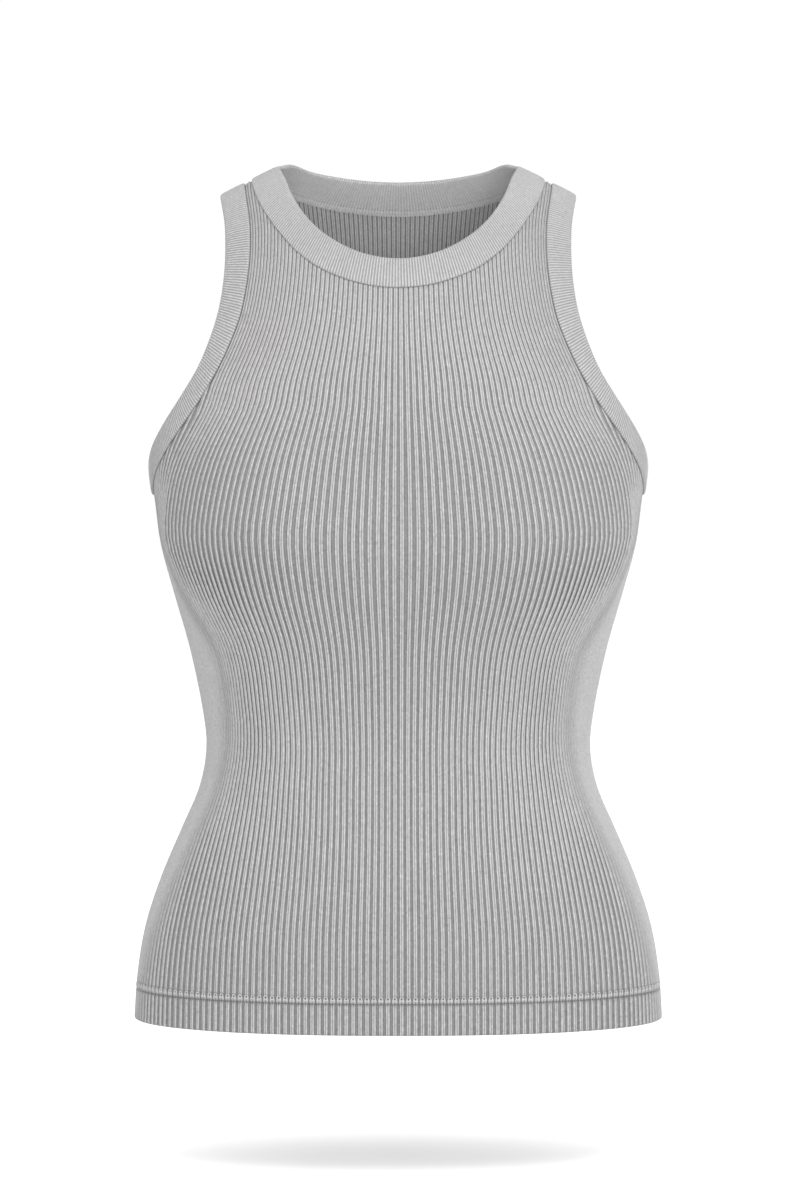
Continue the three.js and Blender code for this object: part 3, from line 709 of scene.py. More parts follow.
def mesh_piece(name, points, faces, fields, uv):
    """A mesh from points in millimetres, with its fields and one knit UV map."""
    mesh = bpy.data.meshes.new(name)
    mesh.from_pydata((points * MM).tolist(), [], faces)
    mesh.validate()
    mesh.polygons.foreach_set("use_smooth", np.ones(len(mesh.polygons), bool))
    keep_fields(mesh, fields)
    layer = mesh.uv_layers.new(name="Knit")
    corner = np.zeros(len(mesh.loops), np.int32)
    mesh.loops.foreach_get("vertex_index", corner)
    layer.data.foreach_set("uv", uv[corner].astype(np.float32).ravel())
    return set_down(name, mesh)

# %% Build the smooth walls


def build_panel(name):
    rules = panels[name]
    outer, outer_quads, outer_ring, outer_at = skin(rules, charts[name], True)
    inner, inner_quads, inner_ring, inner_at = skin(rules, charts[name], False)
    shift = len(outer["p"])
    joins = zip_edges(outer_ring, outer_at, inner_ring + shift, inner_at)
    faces = [tuple(q) for q in outer_quads.tolist()]
    faces += [tuple(q[::-1]) for q in (inner_quads + shift).tolist()]
    faces += [(int(c), int(b), int(a)) for a, b, c in joins]
    if rules.side == BACK:
        faces = [face[::-1] for face in faces]
    merged = {key: np.concatenate([outer[key], inner[key]]) for key in outer}
    points = merged.pop("p")
    inside = np.concatenate([np.zeros(shift), np.ones(len(inner["p"]))])
    merged["count"] = merged.pop("ribs") + 0.5 * inside
    uv = np.stack([merged["count"], merged.pop("v")], -1)
    return mesh_piece(name + "_knit", points, faces, merged, uv)


walls = {name: build_panel(name) for name in panels}
for name, obj in walls.items():
    print(f"{name}: {len(obj.data.polygons)} faces in the smooth wall")

# %% [markdown]
# Raising the ribs. The knitting machine makes every rib the same, so the ribs are one rule for the whole
# piece, and Geometry Nodes is the place for a rule: it reads the rib count at each point, works out whether
# the point is in a valley or on a rib, and moves it out along the cloth's own direction. The rise, the
# slope at the side of a rib and the shallow groove between its two columns of stitches are inputs of the
# tree, so the same tree serves the wide ribs of the panels and the fine ribs of the bands.

# %% A small helper for node trees


class Nodes:
    """Adds nodes to a tree and returns their first outputs, so that a tree reads like a formula."""

    def __init__(self, tree):
        self.tree = tree

    def node(self, kind, settings=None, **inputs):
        node = self.tree.nodes.new(kind)
        for key, value in (settings or {}).items():
            setattr(node, key, value)
        for key, value in inputs.items():
            self.feed(node.inputs[key.replace("_", " ")], value)
        return node

    def add(self, kind, settings=None, **inputs):
        return self.node(kind, settings, **inputs).outputs[0]

    def feed(self, socket, value):
        if isinstance(value, bpy.types.NodeSocket):
            self.tree.links.new(value, socket)
        else:
            socket.default_value = value

    def math(self, operation, *values):
        node = self.node("ShaderNodeMath", {"operation": operation})
        for socket, value in zip(node.inputs, values):
            self.feed(socket, value)
        return node.outputs[0]

    def plus(self, a, b):
        return self.math("ADD", a, b)

    def minus(self, a, b):
        return self.math("SUBTRACT", a, b)

    def times(self, a, b):
        return self.math("MULTIPLY", a, b)

    def ramp(self, value, low, high, to_low=0.0, to_high=1.0):
        """A soft step from one value to another."""
        node = self.node("ShaderNodeMapRange", {"interpolation_type": "SMOOTHSTEP"})
        for socket, given in zip(node.inputs, (value, low, high, to_low, to_high)):
            self.feed(socket, given)
        return node.outputs[0]

    def off_middle(self, count):
        """How far a place lies from the middle of its rib, in ribs."""
        return self.math("ABSOLUTE", self.minus(self.math("FRACT", count), 0.5))


def geometry_tree(name, inputs):
    """A Geometry Nodes tree with named inputs, the helper to fill it, and its input and output nodes."""
    tree = bpy.data.node_groups.new(name, "GeometryNodeTree")
    tree.interface.new_socket("Geometry", in_out="INPUT", socket_type="NodeSocketGeometry")
    for label, kind, value in inputs:
        socket = tree.interface.new_socket(label, in_out="INPUT", socket_type=kind)
        if value is not None:
            socket.default_value = value
    tree.interface.new_socket("Geometry", in_out="OUTPUT", socket_type="NodeSocketGeometry")
    return tree, Nodes(tree), tree.nodes.new("NodeGroupInput"), tree.nodes.new("NodeGroupOutput")


def named(nodes, label, kind="FLOAT"):
    return nodes.add("GeometryNodeInputNamedAttribute", {"data_type": kind}, Name=label)

# %% The tree that raises ribs
RIB_FLANK, RIB_GROOVE = 0.1, 0.22  # slope at the side of a rib, and depth of the groove along its middle
FLANK_FOOT = 0.4  # share of the slope that lies in the valley
GROOVE_HALF = 0.12  # half of the groove's width, in ribs

rib_inputs = [
    ("Rise", "NodeSocketFloat", RIB_RISE * MM),
    ("Flank", "NodeSocketFloat", RIB_FLANK),
    ("Groove", "NodeSocketFloat", RIB_GROOVE),
    ("Finish", "NodeSocketMaterial", None),
]
raise_ribs, g, given, result = geometry_tree("raise the ribs", rib_inputs)
from_middle = g.off_middle(named(g, "count"))
edge = g.times(named(g, "share"), 0.5)
flank = given.outputs["Flank"]
on_rib = g.ramp(from_middle, g.plus(edge, g.times(flank, FLANK_FOOT)), g.minus(edge, flank))
in_groove = g.ramp(from_middle, 0.0, GROOVE_HALF, 1.0, 0.0)
height = g.times(on_rib, g.minus(1.0, g.times(in_groove, given.outputs["Groove"])))
height = g.times(g.times(height, named(g, "relief")), given.outputs["Rise"])
scaled = g.add("ShaderNodeVectorMath", {"operation": "SCALE"},
               Vector=named(g, "facing", "FLOAT_VECTOR"), Scale=height)
moved = g.add("GeometryNodeSetPosition", Geometry=given.outputs["Geometry"], Offset=scaled)
real = g.add("GeometryNodeRealizeInstances", Geometry=moved)
dressed = g.add("GeometryNodeSetMaterial", Geometry=real, Material=given.outputs["Finish"])
raise_ribs.links.new(dressed, result.inputs["Geometry"])
print(f"{raise_ribs.name}: {len(raise_ribs.nodes)} nodes")

# %% Run a tree once and keep a plain mesh


def grow(obj, tree, **values):
    """Runs a tree on an object once and keeps the result as a plain mesh."""
    modifier = obj.modifiers.new(tree.name, "NODES")
    modifier.node_group = tree
    sockets = {item.name: item.identifier for item in tree.interface.items_tree if item.in_out == "INPUT"}
    for label, value in values.items():
        modifier[sockets[label.replace("_", " ")]] = value
    view = bpy.context.evaluated_depsgraph_get()
    view.update()
    evaluated = obj.evaluated_get(view)
    mesh = bpy.data.meshes.new_from_object(evaluated, preserve_all_data_layers=True, depsgraph=view)
    obj.modifiers.remove(modifier)
    old, obj.data = obj.data, mesh
    bpy.data.meshes.remove(old)
    mesh.name = obj.name
    return obj


def keep_for_finish(obj, keep=("share", "plain", "pit_shade", "closed")):
    """Drops the attributes that only the making of the piece needed."""
    for attribute in list(obj.data.attributes):
        if attribute.domain == "POINT" and attribute.name not in keep and attribute.name != "position":
            if not attribute.is_internal and not attribute.is_required:
                obj.data.attributes.remove(attribute)

# %% [markdown]
# The knit finish. Heather grey yarn is spun from light and dark fibres, so the cloth is flecked, stitch by
# stitch and in short streaks along the ribs. A rib is two columns of V-shaped stitches, and the faint line
# between them is painted shade. In the valley the backs of the stitches show, cross-barred, and its darker
# grey is painted shade, because little light gets in. A valley is painted darkest in its corners, and one
# that has closed up beside the waist, or lies on the inside of a band, is painted dark all over as shade.
# Needle holes, dents and seams are painted darker still as shade. The flat strip beside each side seam is
# paler than the ribs, and a band is painted paler on its inside and where its ribs lie flat: painted light.
# The finish follows the piece's own knit map, whose first number counts ribs and whose second is the
# distance along the rib in millimetres, so it goes round every curve with the cloth. Bump gives the stitches
# their relief, which is far finer than the mesh.

# %% Helpers for a finish


def grey(value):
    return (value, value, value, 1.0)


def new_finish(name):
    """A material, the helper that fills it, and its shader."""
    material = bpy.data.materials.new(name)
    material.use_nodes = True
    return material, Nodes(material.node_tree), material.node_tree.nodes["Principled BSDF"]


def mix_colour(n, factor, a, b, blend="MIX"):
    node = n.node("ShaderNodeMix", {"data_type": "RGBA", "blend_type": blend})
    for socket, value in zip((node.inputs[0], node.inputs[6], node.inputs[7]), (factor, a, b)):
        n.feed(socket, value)
    return node.outputs[2]


def field(n, name):
    """A number that the points of the piece carry."""
    return n.node("ShaderNodeAttribute", {"attribute_name": name}).outputs["Fac"]


def object_place(n):
    return n.node("ShaderNodeTexCoord").outputs["Object"]


def uneven_part(n, noise, weight):
    """A noise about nothing, scaled."""
    return n.times(n.minus(noise, 0.5), weight)

# %% A knit finish, made by a function for both kinds of rib
PIT_SHADE_GREY, PIT_COVER = 0.03, 0.9  # painted shade in needle holes, dents and gaps, where hardly any light gets in
LINE_FROM, LINE_TO = 0.01, 0.1  # painted shade in the line between the two columns of a rib, from its middle outwards
CORNER_FROM, CORNER_TO, CORNER_SHADE = 0.03, 0.13, 0.6  # painted shade in the corner of a valley, from the rib outwards
STITCH_LEAN = -1.3  # how far the legs of a V lean along the rib, in stitches
PALE_FIBRES, DARK_FIBRES = (0.93, 0.99), (0.01, 0.06)  # the stitches that hold a pale or a dark fibre
FLECK_TALL = 1.6  # stitches that share one fleck
STREAK_ACROSS, STREAK_ALONG = 3.4, 0.42  # streaks to a rib, and to a millimetre of its length
EACH_WEIGHT, STREAK_WEIGHT, CLOUD_WEIGHT, FIBRE_WEIGHT = 0.6, 2.0, 1.3, 0.3
WARMTH = 0.992  # green beside red and blue
FUZZ = 0.7  # the fine hairs beside the relief of the stitches
BUMP_DEPTH = 0.12 * MM


def knit_finish(name, rib, valley, shade_grey, plain, course, wales, flank, groove_shade, fleck, bump):
    """rib, valley, the darkest grey and plain are greys, course the height of a stitch, wales the columns of
    one rib. Valley and the darkest grey are painted shade, and on a band plain is painted light.
    """
    material, n, shader = new_finish(name)
    knit_map = n.add("ShaderNodeUVMap", {"uv_map": "Knit"})
    split = n.node("ShaderNodeSeparateXYZ", Vector=knit_map)
    count, along = split.outputs[0], split.outputs[1]
    share, smooth, pit_shade, closed = (field(n, key) for key in ("share", "plain", "pit_shade", "closed"))

    from_middle = n.off_middle(count)
    edge = n.times(share, 0.5)
    on_rib = n.ramp(from_middle, n.plus(edge, flank * 0.5), n.minus(edge, flank))
    on_rib = n.times(on_rib, n.minus(1.0, smooth))
    between = n.ramp(from_middle, LINE_FROM, LINE_TO, 1.0, 0.0)
    corner_shade = n.ramp(n.minus(from_middle, edge), CORNER_FROM, CORNER_TO, CORNER_SHADE, 0.0)

    # One stitch is a V: its two legs rise from the middle of the stitch column to its sides.
    column = n.math("DIVIDE", from_middle, n.math("DIVIDE", edge, wales / 2))
    leg = n.off_middle(column)
    courses = n.math("DIVIDE", along, course)
    wave = n.math("SINE", n.times(n.plus(courses, n.times(leg, STITCH_LEAN)), 2 * math.pi))
    bar = n.math("SINE", n.times(courses, 2 * math.pi))
    relief = n.plus(n.times(wave, on_rib), n.times(bar, n.minus(1.0, on_rib)))

    # Fibres: a value for each stitch, streaks along the rib, and soft cloudy patches.
    cell = n.add("ShaderNodeCombineXYZ", X=n.math("FLOOR", n.times(count, 2.0 * wales)),
                 Y=n.math("FLOOR", n.math("DIVIDE", along, course * FLECK_TALL)))
    each = n.add("ShaderNodeTexWhiteNoise", {"noise_dimensions": "2D"}, Vector=cell)
    stretched = n.add("ShaderNodeCombineXYZ", X=n.times(count, STREAK_ACROSS), Y=n.times(along, STREAK_ALONG))
    streak = n.add("ShaderNodeTexNoise", {"noise_dimensions": "2D"}, Vector=stretched,
                   Scale=1.0, Detail=3.0, Roughness=0.65)
    place = object_place(n)
    cloud = n.add("ShaderNodeTexNoise", Vector=place, Scale=260.0, Detail=4.0, Roughness=0.7)
    tone = n.plus(uneven_part(n, each, EACH_WEIGHT * fleck), uneven_part(n, streak, STREAK_WEIGHT * fleck))
    tone = n.plus(tone, uneven_part(n, cloud, CLOUD_WEIGHT * fleck))
    pale_fibre = n.ramp(each, *PALE_FIBRES, 0.0, FIBRE_WEIGHT * fleck)
    dark_fibre = n.ramp(each, *DARK_FIBRES, FIBRE_WEIGHT * fleck, 0.0)
    tone = n.plus(n.plus(tone, n.minus(pale_fibre, dark_fibre)), 1.0)

    # Painted shade: a valley is darkest in its corners and paler inside, and one that has closed up is dark
    # all over.
    colour = mix_colour(n, n.math("MAXIMUM", corner_shade, closed), grey(valley), grey(shade_grey))
    colour = mix_colour(n, on_rib, colour, grey(rib))
    # Painted shade in the line between the two columns of a rib.
    colour = mix_colour(n, n.times(n.times(between, on_rib), groove_shade), colour, grey(shade_grey))
    # The flat strip takes its plain grey; on a band this pale grey is painted light.
    colour = mix_colour(n, smooth, colour, grey(plain))
    toned = n.add("ShaderNodeCombineXYZ", X=tone, Y=n.times(tone, WARMTH), Z=tone)
    colour = mix_colour(n, 1.0, colour, toned, "MULTIPLY")
    # Painted shade in needle holes, dents and seams.
    colour = mix_colour(n, n.times(pit_shade, PIT_COVER), colour, grey(PIT_SHADE_GREY))
    n.feed(shader.inputs["Base Color"], colour)

    fuzz = n.add("ShaderNodeTexNoise", Vector=place, Scale=2600.0, Detail=2.0)
    surface = n.plus(relief, n.times(fuzz, FUZZ))
    raised = n.add("ShaderNodeBump", Strength=bump, Distance=BUMP_DEPTH, Height=surface)
    n.feed(shader.inputs["Normal"], raised)
    n.feed(shader.inputs["Roughness"], n.ramp(cloud, 0.3, 0.7, 0.86, 0.97))
    shader.inputs["Specular IOR Level"].default_value = 0.18
    shader.inputs["Sheen Weight"].default_value = 0.12
    shader.inputs["Sheen Roughness"].default_value = 0.5
    return material


# Each finish's valley grey and darkest grey are painted shade.
body_finish = knit_finish("grey heather rib knit", rib=0.22, valley=0.102, shade_grey=0.036, plain=0.207,
                          course=0.9, wales=2, flank=0.09, groove_shade=0.62, fleck=0.24, bump=0.5)
# The band's plain grey, far paler than its ribs, is painted light.
band_finish = knit_finish("grey heather fine rib knit", rib=0.22, valley=0.138, shade_grey=0.07, plain=0.4,
                          course=0.75, wales=1, flank=0.16, groove_shade=0.0, fleck=0.17, bump=0.4)
print("finishes:", body_finish.name, "and", band_finish.name)

# %% Raise the ribs of both panels


def triangles(obj):
    return len(obj.data.loops) - 2 * len(obj.data.polygons)


for name, obj in walls.items():
    grow(obj, raise_ribs, Rise=RIB_RISE * MM, Flank=RIB_FLANK, Groove=RIB_GROOVE, Finish=body_finish)
    keep_for_finish(obj)
    print(f"{name}: {triangles(obj)} triangles")

# %% [markdown]
# The bands. Each one is a strip of fine rib, sewn on along its two raw edges and folded along its free
# edge, so its ribs run straight across it and round the fold. The strip is walked round the seam and the
# free edge in equal steps, a few for each rib. At each step one cross-section is drawn: up from the seam
# in a soft roll, flat over the outside, round the fold, and back along the inside. The same tree then
# raises the fine ribs.

# %% The cross-section of a band and its walls
BAND_PITCH = 1.72  # width of one fine rib
BAND_STEPS = 4  # points across one fine rib
BAND_RISE = 0.34
BAND_FLANK = 0.14
BAND_SHARE = 0.62  # share of a fine rib that stands up
BAND_SAMPLES = 200  # steps that measure how many ribs a band takes
OUTER_FACE = 6  # a point of the cross-section that lies flat on the outside
INNER_LEAF = 1  # points lower than this above the form lie on the inside
INNER_PAINTED_LIGHT, FLAT_PAINTED_LIGHT = 0.42, 0.2  # painted light: how far the inside, and the outside where its ribs lie flat, are mixed towards a pale grey
VALLEY_ONLY = 0.25  # share of a needle mark's painted shade that shows off the valley of its rib
# Each point: share of the width from the seam, millimetres added to it, height above the form, relief,
# and how much painted shade it takes in a dent of the sewing.
BAND_SECTION = [
    (0, 0.0, 1.2, 0.0, 0.8),
    (0, 0.05, 1.75, 0.5, 0.3),
    (0, 0.45, 2.3, 0.8, 0.0),
    (0, 1.2, 2.6, 1.0, 0.0),
    (0, 2.6, 2.72, 1.0, 0.0),
    (0.35, 0, 2.8, 1.0, 0.0),
    (0.6, 0, 2.8, 1.0, 0.0),
    (1, -3.2, 2.74, 1.0, 0.0),
    (1, -1.5, 2.58, 1.0, 0.0),
    (1, -0.55, 2.2, 1.0, 0.0),
    (1, -0.1, 1.62, 0.9, 0.0),
    (1, -0.1, 1.05, 0.9, 0.0),
    (1, -0.6, 0.48, 0.9, 0.0),
    (1, -1.7, 0.2, 0.9, 0.0),
    (0.6, 0, 0.12, 0.9, 0.0),
    (0, 4.4, 0.1, 0.9, 0.0),
    (0, 3.7, 0.14, 0.6, 0.55),
    (0, 3.0, 0.06, 0.8, 0.0),
    (0, 1.2, -0.1, 0.8, 0.0),
    (0, 0.1, -0.08, 0.5, 0.2),
    (0, 0.0, 0.1, 0.0, 0.5),
    (0, 1.2, 0.2, 0.0, 0.0),
    (0, TUCK + 0.3, 0.26, 0.0, 0.0),
    (0, TUCK + 0.3, 1.05, 0.0, 0.0),
    (0, 1.2, 1.12, 0.0, 0.0),
]


def rib_stations(seam, edge, cuts):
    """Matching points on the seam and the free edge, in runs of whole ribs, and the rib count at each."""
    seam_run, edge_run, total = [], [], 0
    for (s0, s1), (e0, e1) in cuts:
        middle = (even_run(seam, s0, s1, BAND_SAMPLES) + even_run(edge, e0, e1, BAND_SAMPLES)) * 0.5
        ribs = round(np.linalg.norm(np.diff(middle, axis=0), axis=1).sum() / BAND_PITCH)
        total += ribs
        seam_run.append(even_run(seam, s0, s1, ribs * BAND_STEPS)[:-1])
        edge_run.append(even_run(edge, e0, e1, ribs * BAND_STEPS)[:-1])
    return np.concatenate(seam_run), np.concatenate(edge_run), total


def band_points(seam_run, edge_run):
    """Points of the band by station and place in the cross-section, and which way is out from each."""
    width = np.linalg.norm(edge_run - seam_run, axis=1)
    table = np.array(BAND_SECTION)
    share = table[:, 0] + (table[:, 1] / width[:, None])
    p = seam_run[:, None] + (edge_run - seam_run)[:, None] * share[..., None]
    p = onto_form(p.reshape(-1, 3)).reshape(p.shape)
    normal = outward(p)
    points = p + normal * table[:, 2][None, :, None]
    around = np.roll(points, -1, 1) - np.roll(points, 1, 1)
    along = np.roll(points, -1, 0) - np.roll(points, 1, 0)
    facing = np.cross(along, around)
    facing /= np.linalg.norm(facing, axis=-1, keepdims=True)
    turned = np.sign((facing[:, OUTER_FACE] * normal[:, OUTER_FACE]).sum(-1).mean())
    return p, points, facing * turned, turned < 0


def build_band(name, seam_run, edge_run, total, stretch_of):
    """stretch_of gives the share of their rise that the fine ribs keep at a place on the form."""
    p, points, facing, inside_out = band_points(seam_run, edge_run)
    table = np.array(BAND_SECTION)
    n, m = points.shape[:2]
    i, k = np.meshgrid(np.arange(n), np.arange(m), indexing="ij")
    ring, next_k = (i + 1) % n, (k + 1) % m
    faces = np.stack([i * m + k, ring * m + k, ring * m + next_k, i * m + next_k], -1).reshape(-1, 4)
    if inside_out:
        faces = faces[:, ::-1]
    count = i / BAND_STEPS
    relief = table[:, 3] * stretch_of(p)
    inner_leaf = table[:, 2] < INNER_LEAF
    marks = np.where(inner_leaf & (i % BAND_STEPS != 0), VALLEY_ONLY, 1.0)
    fields = {
        "count": count,
        "share": np.full((n, m), BAND_SHARE),
        "relief": relief,
        # Painted light: the inside, and a little of the outside where the ribs lie flat, are mixed towards a
        # pale grey. Painted shade darkens the needle marks, the seam and the valleys inside.
        "plain": np.where(inner_leaf, INNER_PAINTED_LIGHT, FLAT_PAINTED_LIGHT * np.clip(1 - relief, 0, 1)),
        "pit_shade": table[:, 4] * marks,
        "closed": np.broadcast_to(np.where(inner_leaf, 1.0, 0.0), (n, m)),
    }
    fields = {key: values.ravel() for key, values in fields.items()}
    fields["facing"] = facing.reshape(-1, 3)
    steps = np.linalg.norm(np.roll(points, -1, 1) - points, axis=2)
    round_the_section = np.concatenate([np.zeros((n, 1)), np.cumsum(steps, 1)[:, :-1]], 1)
    uv = np.stack([count.ravel(), round_the_section.ravel()], -1)
    obj = mesh_piece(name + "_knit", points.reshape(-1, 3), [tuple(f) for f in faces.tolist()], fields, uv)
    section_length = np.linalg.norm(np.diff(points.mean(0), axis=0), axis=1).sum()
    mend_seam_of_map(obj, total, section_length)
    grow(obj, raise_ribs, Rise=BAND_RISE * MM, Flank=BAND_FLANK, Groove=0.0, Finish=band_finish)
    keep_for_finish(obj)
    return obj


def mend_seam_of_map(obj, total, section_length):
    """Where the map closes on itself, its last strip counts on instead of running back to zero."""
    layer = obj.data.uv_layers["Knit"].data
    uv = np.zeros(len(layer) * 2, np.float32)
    layer.foreach_get("uv", uv)
    quads = uv.reshape(-1, 4, 2)
    for axis, whole in ((0, total), (1, section_length)):
        values = quads[:, :, axis]
        wraps = values.max(1) - values.min(1) > whole / 2
        values[wraps] = np.where(values[wraps] < whole / 2, values[wraps] + whole, values[wraps])
    layer.foreach_set("uv", uv)


print(f"{len(BAND_SECTION)} points round the cross-section of a band")

# %% Build the three bands
FULL_RELIEF_DROP, FLAT_RELIEF_DROP = 55, 5  # so far down from the shoulder the ribs are full, and flattest
FLATTENED = 0.55  # share of their rise that the ribs lose on the shoulder
NECK_FULL_X, NECK_FLAT_X = 20, 60  # and at the back of the neck, so far from the middle
arm_rows, edge_rows = len(ARM_SEAM) + 1, len(ARM_EDGE) + 1
arm_cuts = [((0, arm_rows), (0, edge_rows)), ((arm_rows, 2 * arm_rows), (edge_rows, 2 * edge_rows))]
front_knots, front_edge_knots = 2 * len(NECK_SEAM_FRONT), 2 * len(NECK_EDGE_FRONT)
neck_cuts = [((0, front_knots), (0, front_edge_knots)),
             ((front_knots, len(neck_seam)), (front_edge_knots, len(neck_edge)))]


def relaxed_at_shoulder(p):
    """The fine ribs lie flatter where a band runs over the shoulder."""
    return 1 - FLATTENED + FLATTENED * smooth_step(FLAT_RELIEF_DROP, FULL_RELIEF_DROP, -p[..., 2])


def neck_relief(p):
    """At the back of the neck the ribs stay full, and only the shoulders smooth them."""
    across = smooth_step(NECK_FULL_X, NECK_FLAT_X, np.abs(p[..., 0]))
    return np.maximum(relaxed_at_shoulder(p), 1 - FLATTENED * across)


seam_run, edge_run, total = rib_stations(neck_seam, neck_edge, neck_cuts)
bands = {"neck_band": build_band("neck_band", seam_run, edge_run, total, neck_relief)}
arm_run = rib_stations(arm_seam, arm_edge, arm_cuts)
bands["armhole_band_right"] = build_band("armhole_band_right", *arm_run, relaxed_at_shoulder)
left_run = [run[::-1] * MIRROR_X for run in arm_run[:2]]
bands["armhole_band_left"] = build_band("armhole_band_left", *left_run, arm_run[2], relaxed_at_shoulder)
for name, obj in bands.items():
    print(f"{name}: {triangles(obj)} triangles")

# %% [markdown]
# The sewing. The hem is held by a cover stitch: outside, one needle hole and a small ring of thread on each
# rib. Inside, an overlock stitch binds every seam with a row of small loops, and a row of needle marks runs
# along the band beside it, which the band's own cross-section holds as painted shade. A stitch is a short
# loop of thread, so the tree bends one loop, sets it on every point of a line, turns each one along the
# seam, and makes them real. The line's points carry the two directions that a loop is turned by.

# %% The tree that sews
LOOP_POINTS, THREAD_SIDES, STITCH_SEED = 12, 5, 7
UNEVENNESS = 0.1  # a stitch is up to this share larger or smaller than its neighbours

stitch_inputs = [
    ("Length", "NodeSocketFloat", MM),
    ("Width", "NodeSocketFloat", MM),
    ("Thread", "NodeSocketFloat", 0.2 * MM),
    ("Unevenness", "NodeSocketFloat", UNEVENNESS),
    ("Finish", "NodeSocketMaterial", None),
]
sew, g, given, result = geometry_tree("sew a row of loops", stitch_inputs)
loop = g.add("GeometryNodeCurvePrimitiveCircle", Resolution=LOOP_POINTS, Radius=1.0)
shape = g.add("ShaderNodeCombineXYZ", X=given.outputs["Length"], Y=given.outputs["Width"], Z=1.0)
loop = g.add("GeometryNodeTransform", Geometry=loop, Scale=shape)
thread = g.add("GeometryNodeCurvePrimitiveCircle", Resolution=THREAD_SIDES, Radius=given.outputs["Thread"])
stitch_mesh = g.add("GeometryNodeCurveToMesh", Curve=loop, Profile_Curve=thread)
turn = g.node("FunctionNodeAxesToRotation", {"primary_axis": "Z", "secondary_axis": "X"})
g.feed(turn.inputs[0], named(g, "facing", "FLOAT_VECTOR"))
g.feed(turn.inputs[1], named(g, "seamwise", "FLOAT_VECTOR"))
uneven = g.node("FunctionNodeRandomValue", {"data_type": "FLOAT"})
limits = {"Min": g.minus(1.0, given.outputs["Unevenness"]),
          "Max": g.plus(1.0, given.outputs["Unevenness"]), "Seed": STITCH_SEED}
for socket in uneven.inputs:
    if socket.enabled and socket.name in limits:
        g.feed(socket, limits[socket.name])
sewn = g.add("GeometryNodeInstanceOnPoints", Points=given.outputs["Geometry"], Instance=stitch_mesh,
             Rotation=turn.outputs[0], Scale=next(s for s in uneven.outputs if s.enabled))
real = g.add("GeometryNodeRealizeInstances", Geometry=sewn)
soft = g.add("GeometryNodeSetShadeSmooth", Geometry=real)
dressed = g.add("GeometryNodeSetMaterial", Geometry=soft, Material=given.outputs["Finish"])
sew.links.new(dressed, result.inputs["Geometry"])
print(f"{sew.name}: {len(sew.nodes)} nodes")

# %% The thread, and one row of stitches
THREAD_GREY = 0.25
THREAD_DARK, THREAD_PALE = 0.8, 1.15  # the thread's grey varies at random by so much darker and paler


def thread_finish(name, value):
    """Spun sewing thread: a soft twist in bump and a little sheen."""
    material, n, shader = new_finish(name)
    twist = n.add("ShaderNodeTexNoise", Vector=object_place(n), Scale=1800.0, Detail=2.0)
    dark, pale = grey(value * THREAD_DARK), grey(value * THREAD_PALE)
    n.feed(shader.inputs["Base Color"], mix_colour(n, twist, dark, pale))
    n.feed(shader.inputs["Normal"], n.add("ShaderNodeBump", Strength=0.4, Distance=0.0001, Height=twist))
    shader.inputs["Roughness"].default_value = 0.7
    shader.inputs["Sheen Weight"].default_value = 0.2
    return material


sewing_thread = thread_finish("grey sewing thread", THREAD_GREY)


def sew_row(name, points, facing, seamwise, **sizes):
    """One row of stitches as a plain mesh."""
    mesh = bpy.data.meshes.new(name)
    mesh.from_pydata((points * MM).tolist(), [], [])
    keep_fields(mesh, {"facing": facing, "seamwise": seamwise})
    obj = set_down(name, mesh)
    lengths = {key: size * MM for key, size in sizes.items()}
    grow(obj, sew, Finish=sewing_thread, Unevenness=UNEVENNESS, **lengths)
    keep_for_finish(obj, keep=())
    print(f"{name}: {len(points)} stitches")
    return obj

# %% Rings of the hem, one on each rib, outside
HEM_RING_OUT = 1.9  # height of a ring above the form
HEM_RING_DROP = 0.5  # a ring hangs a little below its needle hole
HEM_RINGS = PANEL_RIBS - 3  # beside the side seam the stitches sink out of sight


def hem_rings(name):
    rules = panels[name]
    ribs = np.arange(HEM_RINGS) + 0.5
    z = np.full(HEM_RINGS, HEM_Z + HEM_STITCH - HEM_RING_DROP)
    half = rules.at(ribs, z)
    p = np.concatenate([half[::-1] * MIRROR_X, half])
    normal = outward(p)
    level = np.cross(normal, [0, 0, 1.0])
    return sew_row(name + "_hem_stitches", p + normal * HEM_RING_OUT, normal, level,
                   Length=1.0, Width=1.0, Thread=0.28)


hem_stitches = {name: hem_rings(name) for name in panels}

# %% [markdown]
# The overlock inside. It is seen through the neck, along the lower edge of the back of the neck band, and
# again when the top is looked at from below or through the armholes. Its loops lie across the edge of the
# seam on the inner side of the cloth, a little way towards the band.

# %% Loops inside the neck and armhole seams
LOOP_SPACING = 2.5  # from one loop to the next
LOOP_IN = 0.1  # from the seam line towards the free edge of the band
LOOP_OUT = -0.32  # on the inner side of the form


def overlock(name, seam_key, edge_key, mirror=False):
    path = fine[seam_key]
    count = int(round(np.linalg.norm(np.diff(path, axis=0), axis=1).sum() / LOOP_SPACING))
    closed = np.concatenate([path, path[:1]])
    p = along_path(closed, np.arange(count) / count)
    target, _ = nearest(tree_of(fine[edge_key]), p)
    step = target - p
    step /= np.linalg.norm(step, axis=1, keepdims=True)
    p = onto_form(p + step * LOOP_IN)
    if mirror:
        p, step = p * MIRROR_X, step * MIRROR_X
    normal = outward(p)
    return sew_row(name + "_overlock", p + normal * LOOP_OUT, -normal, step,
                   Length=0.48, Width=0.9, Thread=0.3)


overlocks = {
    "neck_band": overlock("neck_band", "neck_seam", "neck_edge"),
    "armhole_band_right": overlock("armhole_band_right", "arm_seam", "arm_edge"),
    "armhole_band_left": overlock("armhole_band_left", "arm_seam", "arm_edge", mirror=True),
}

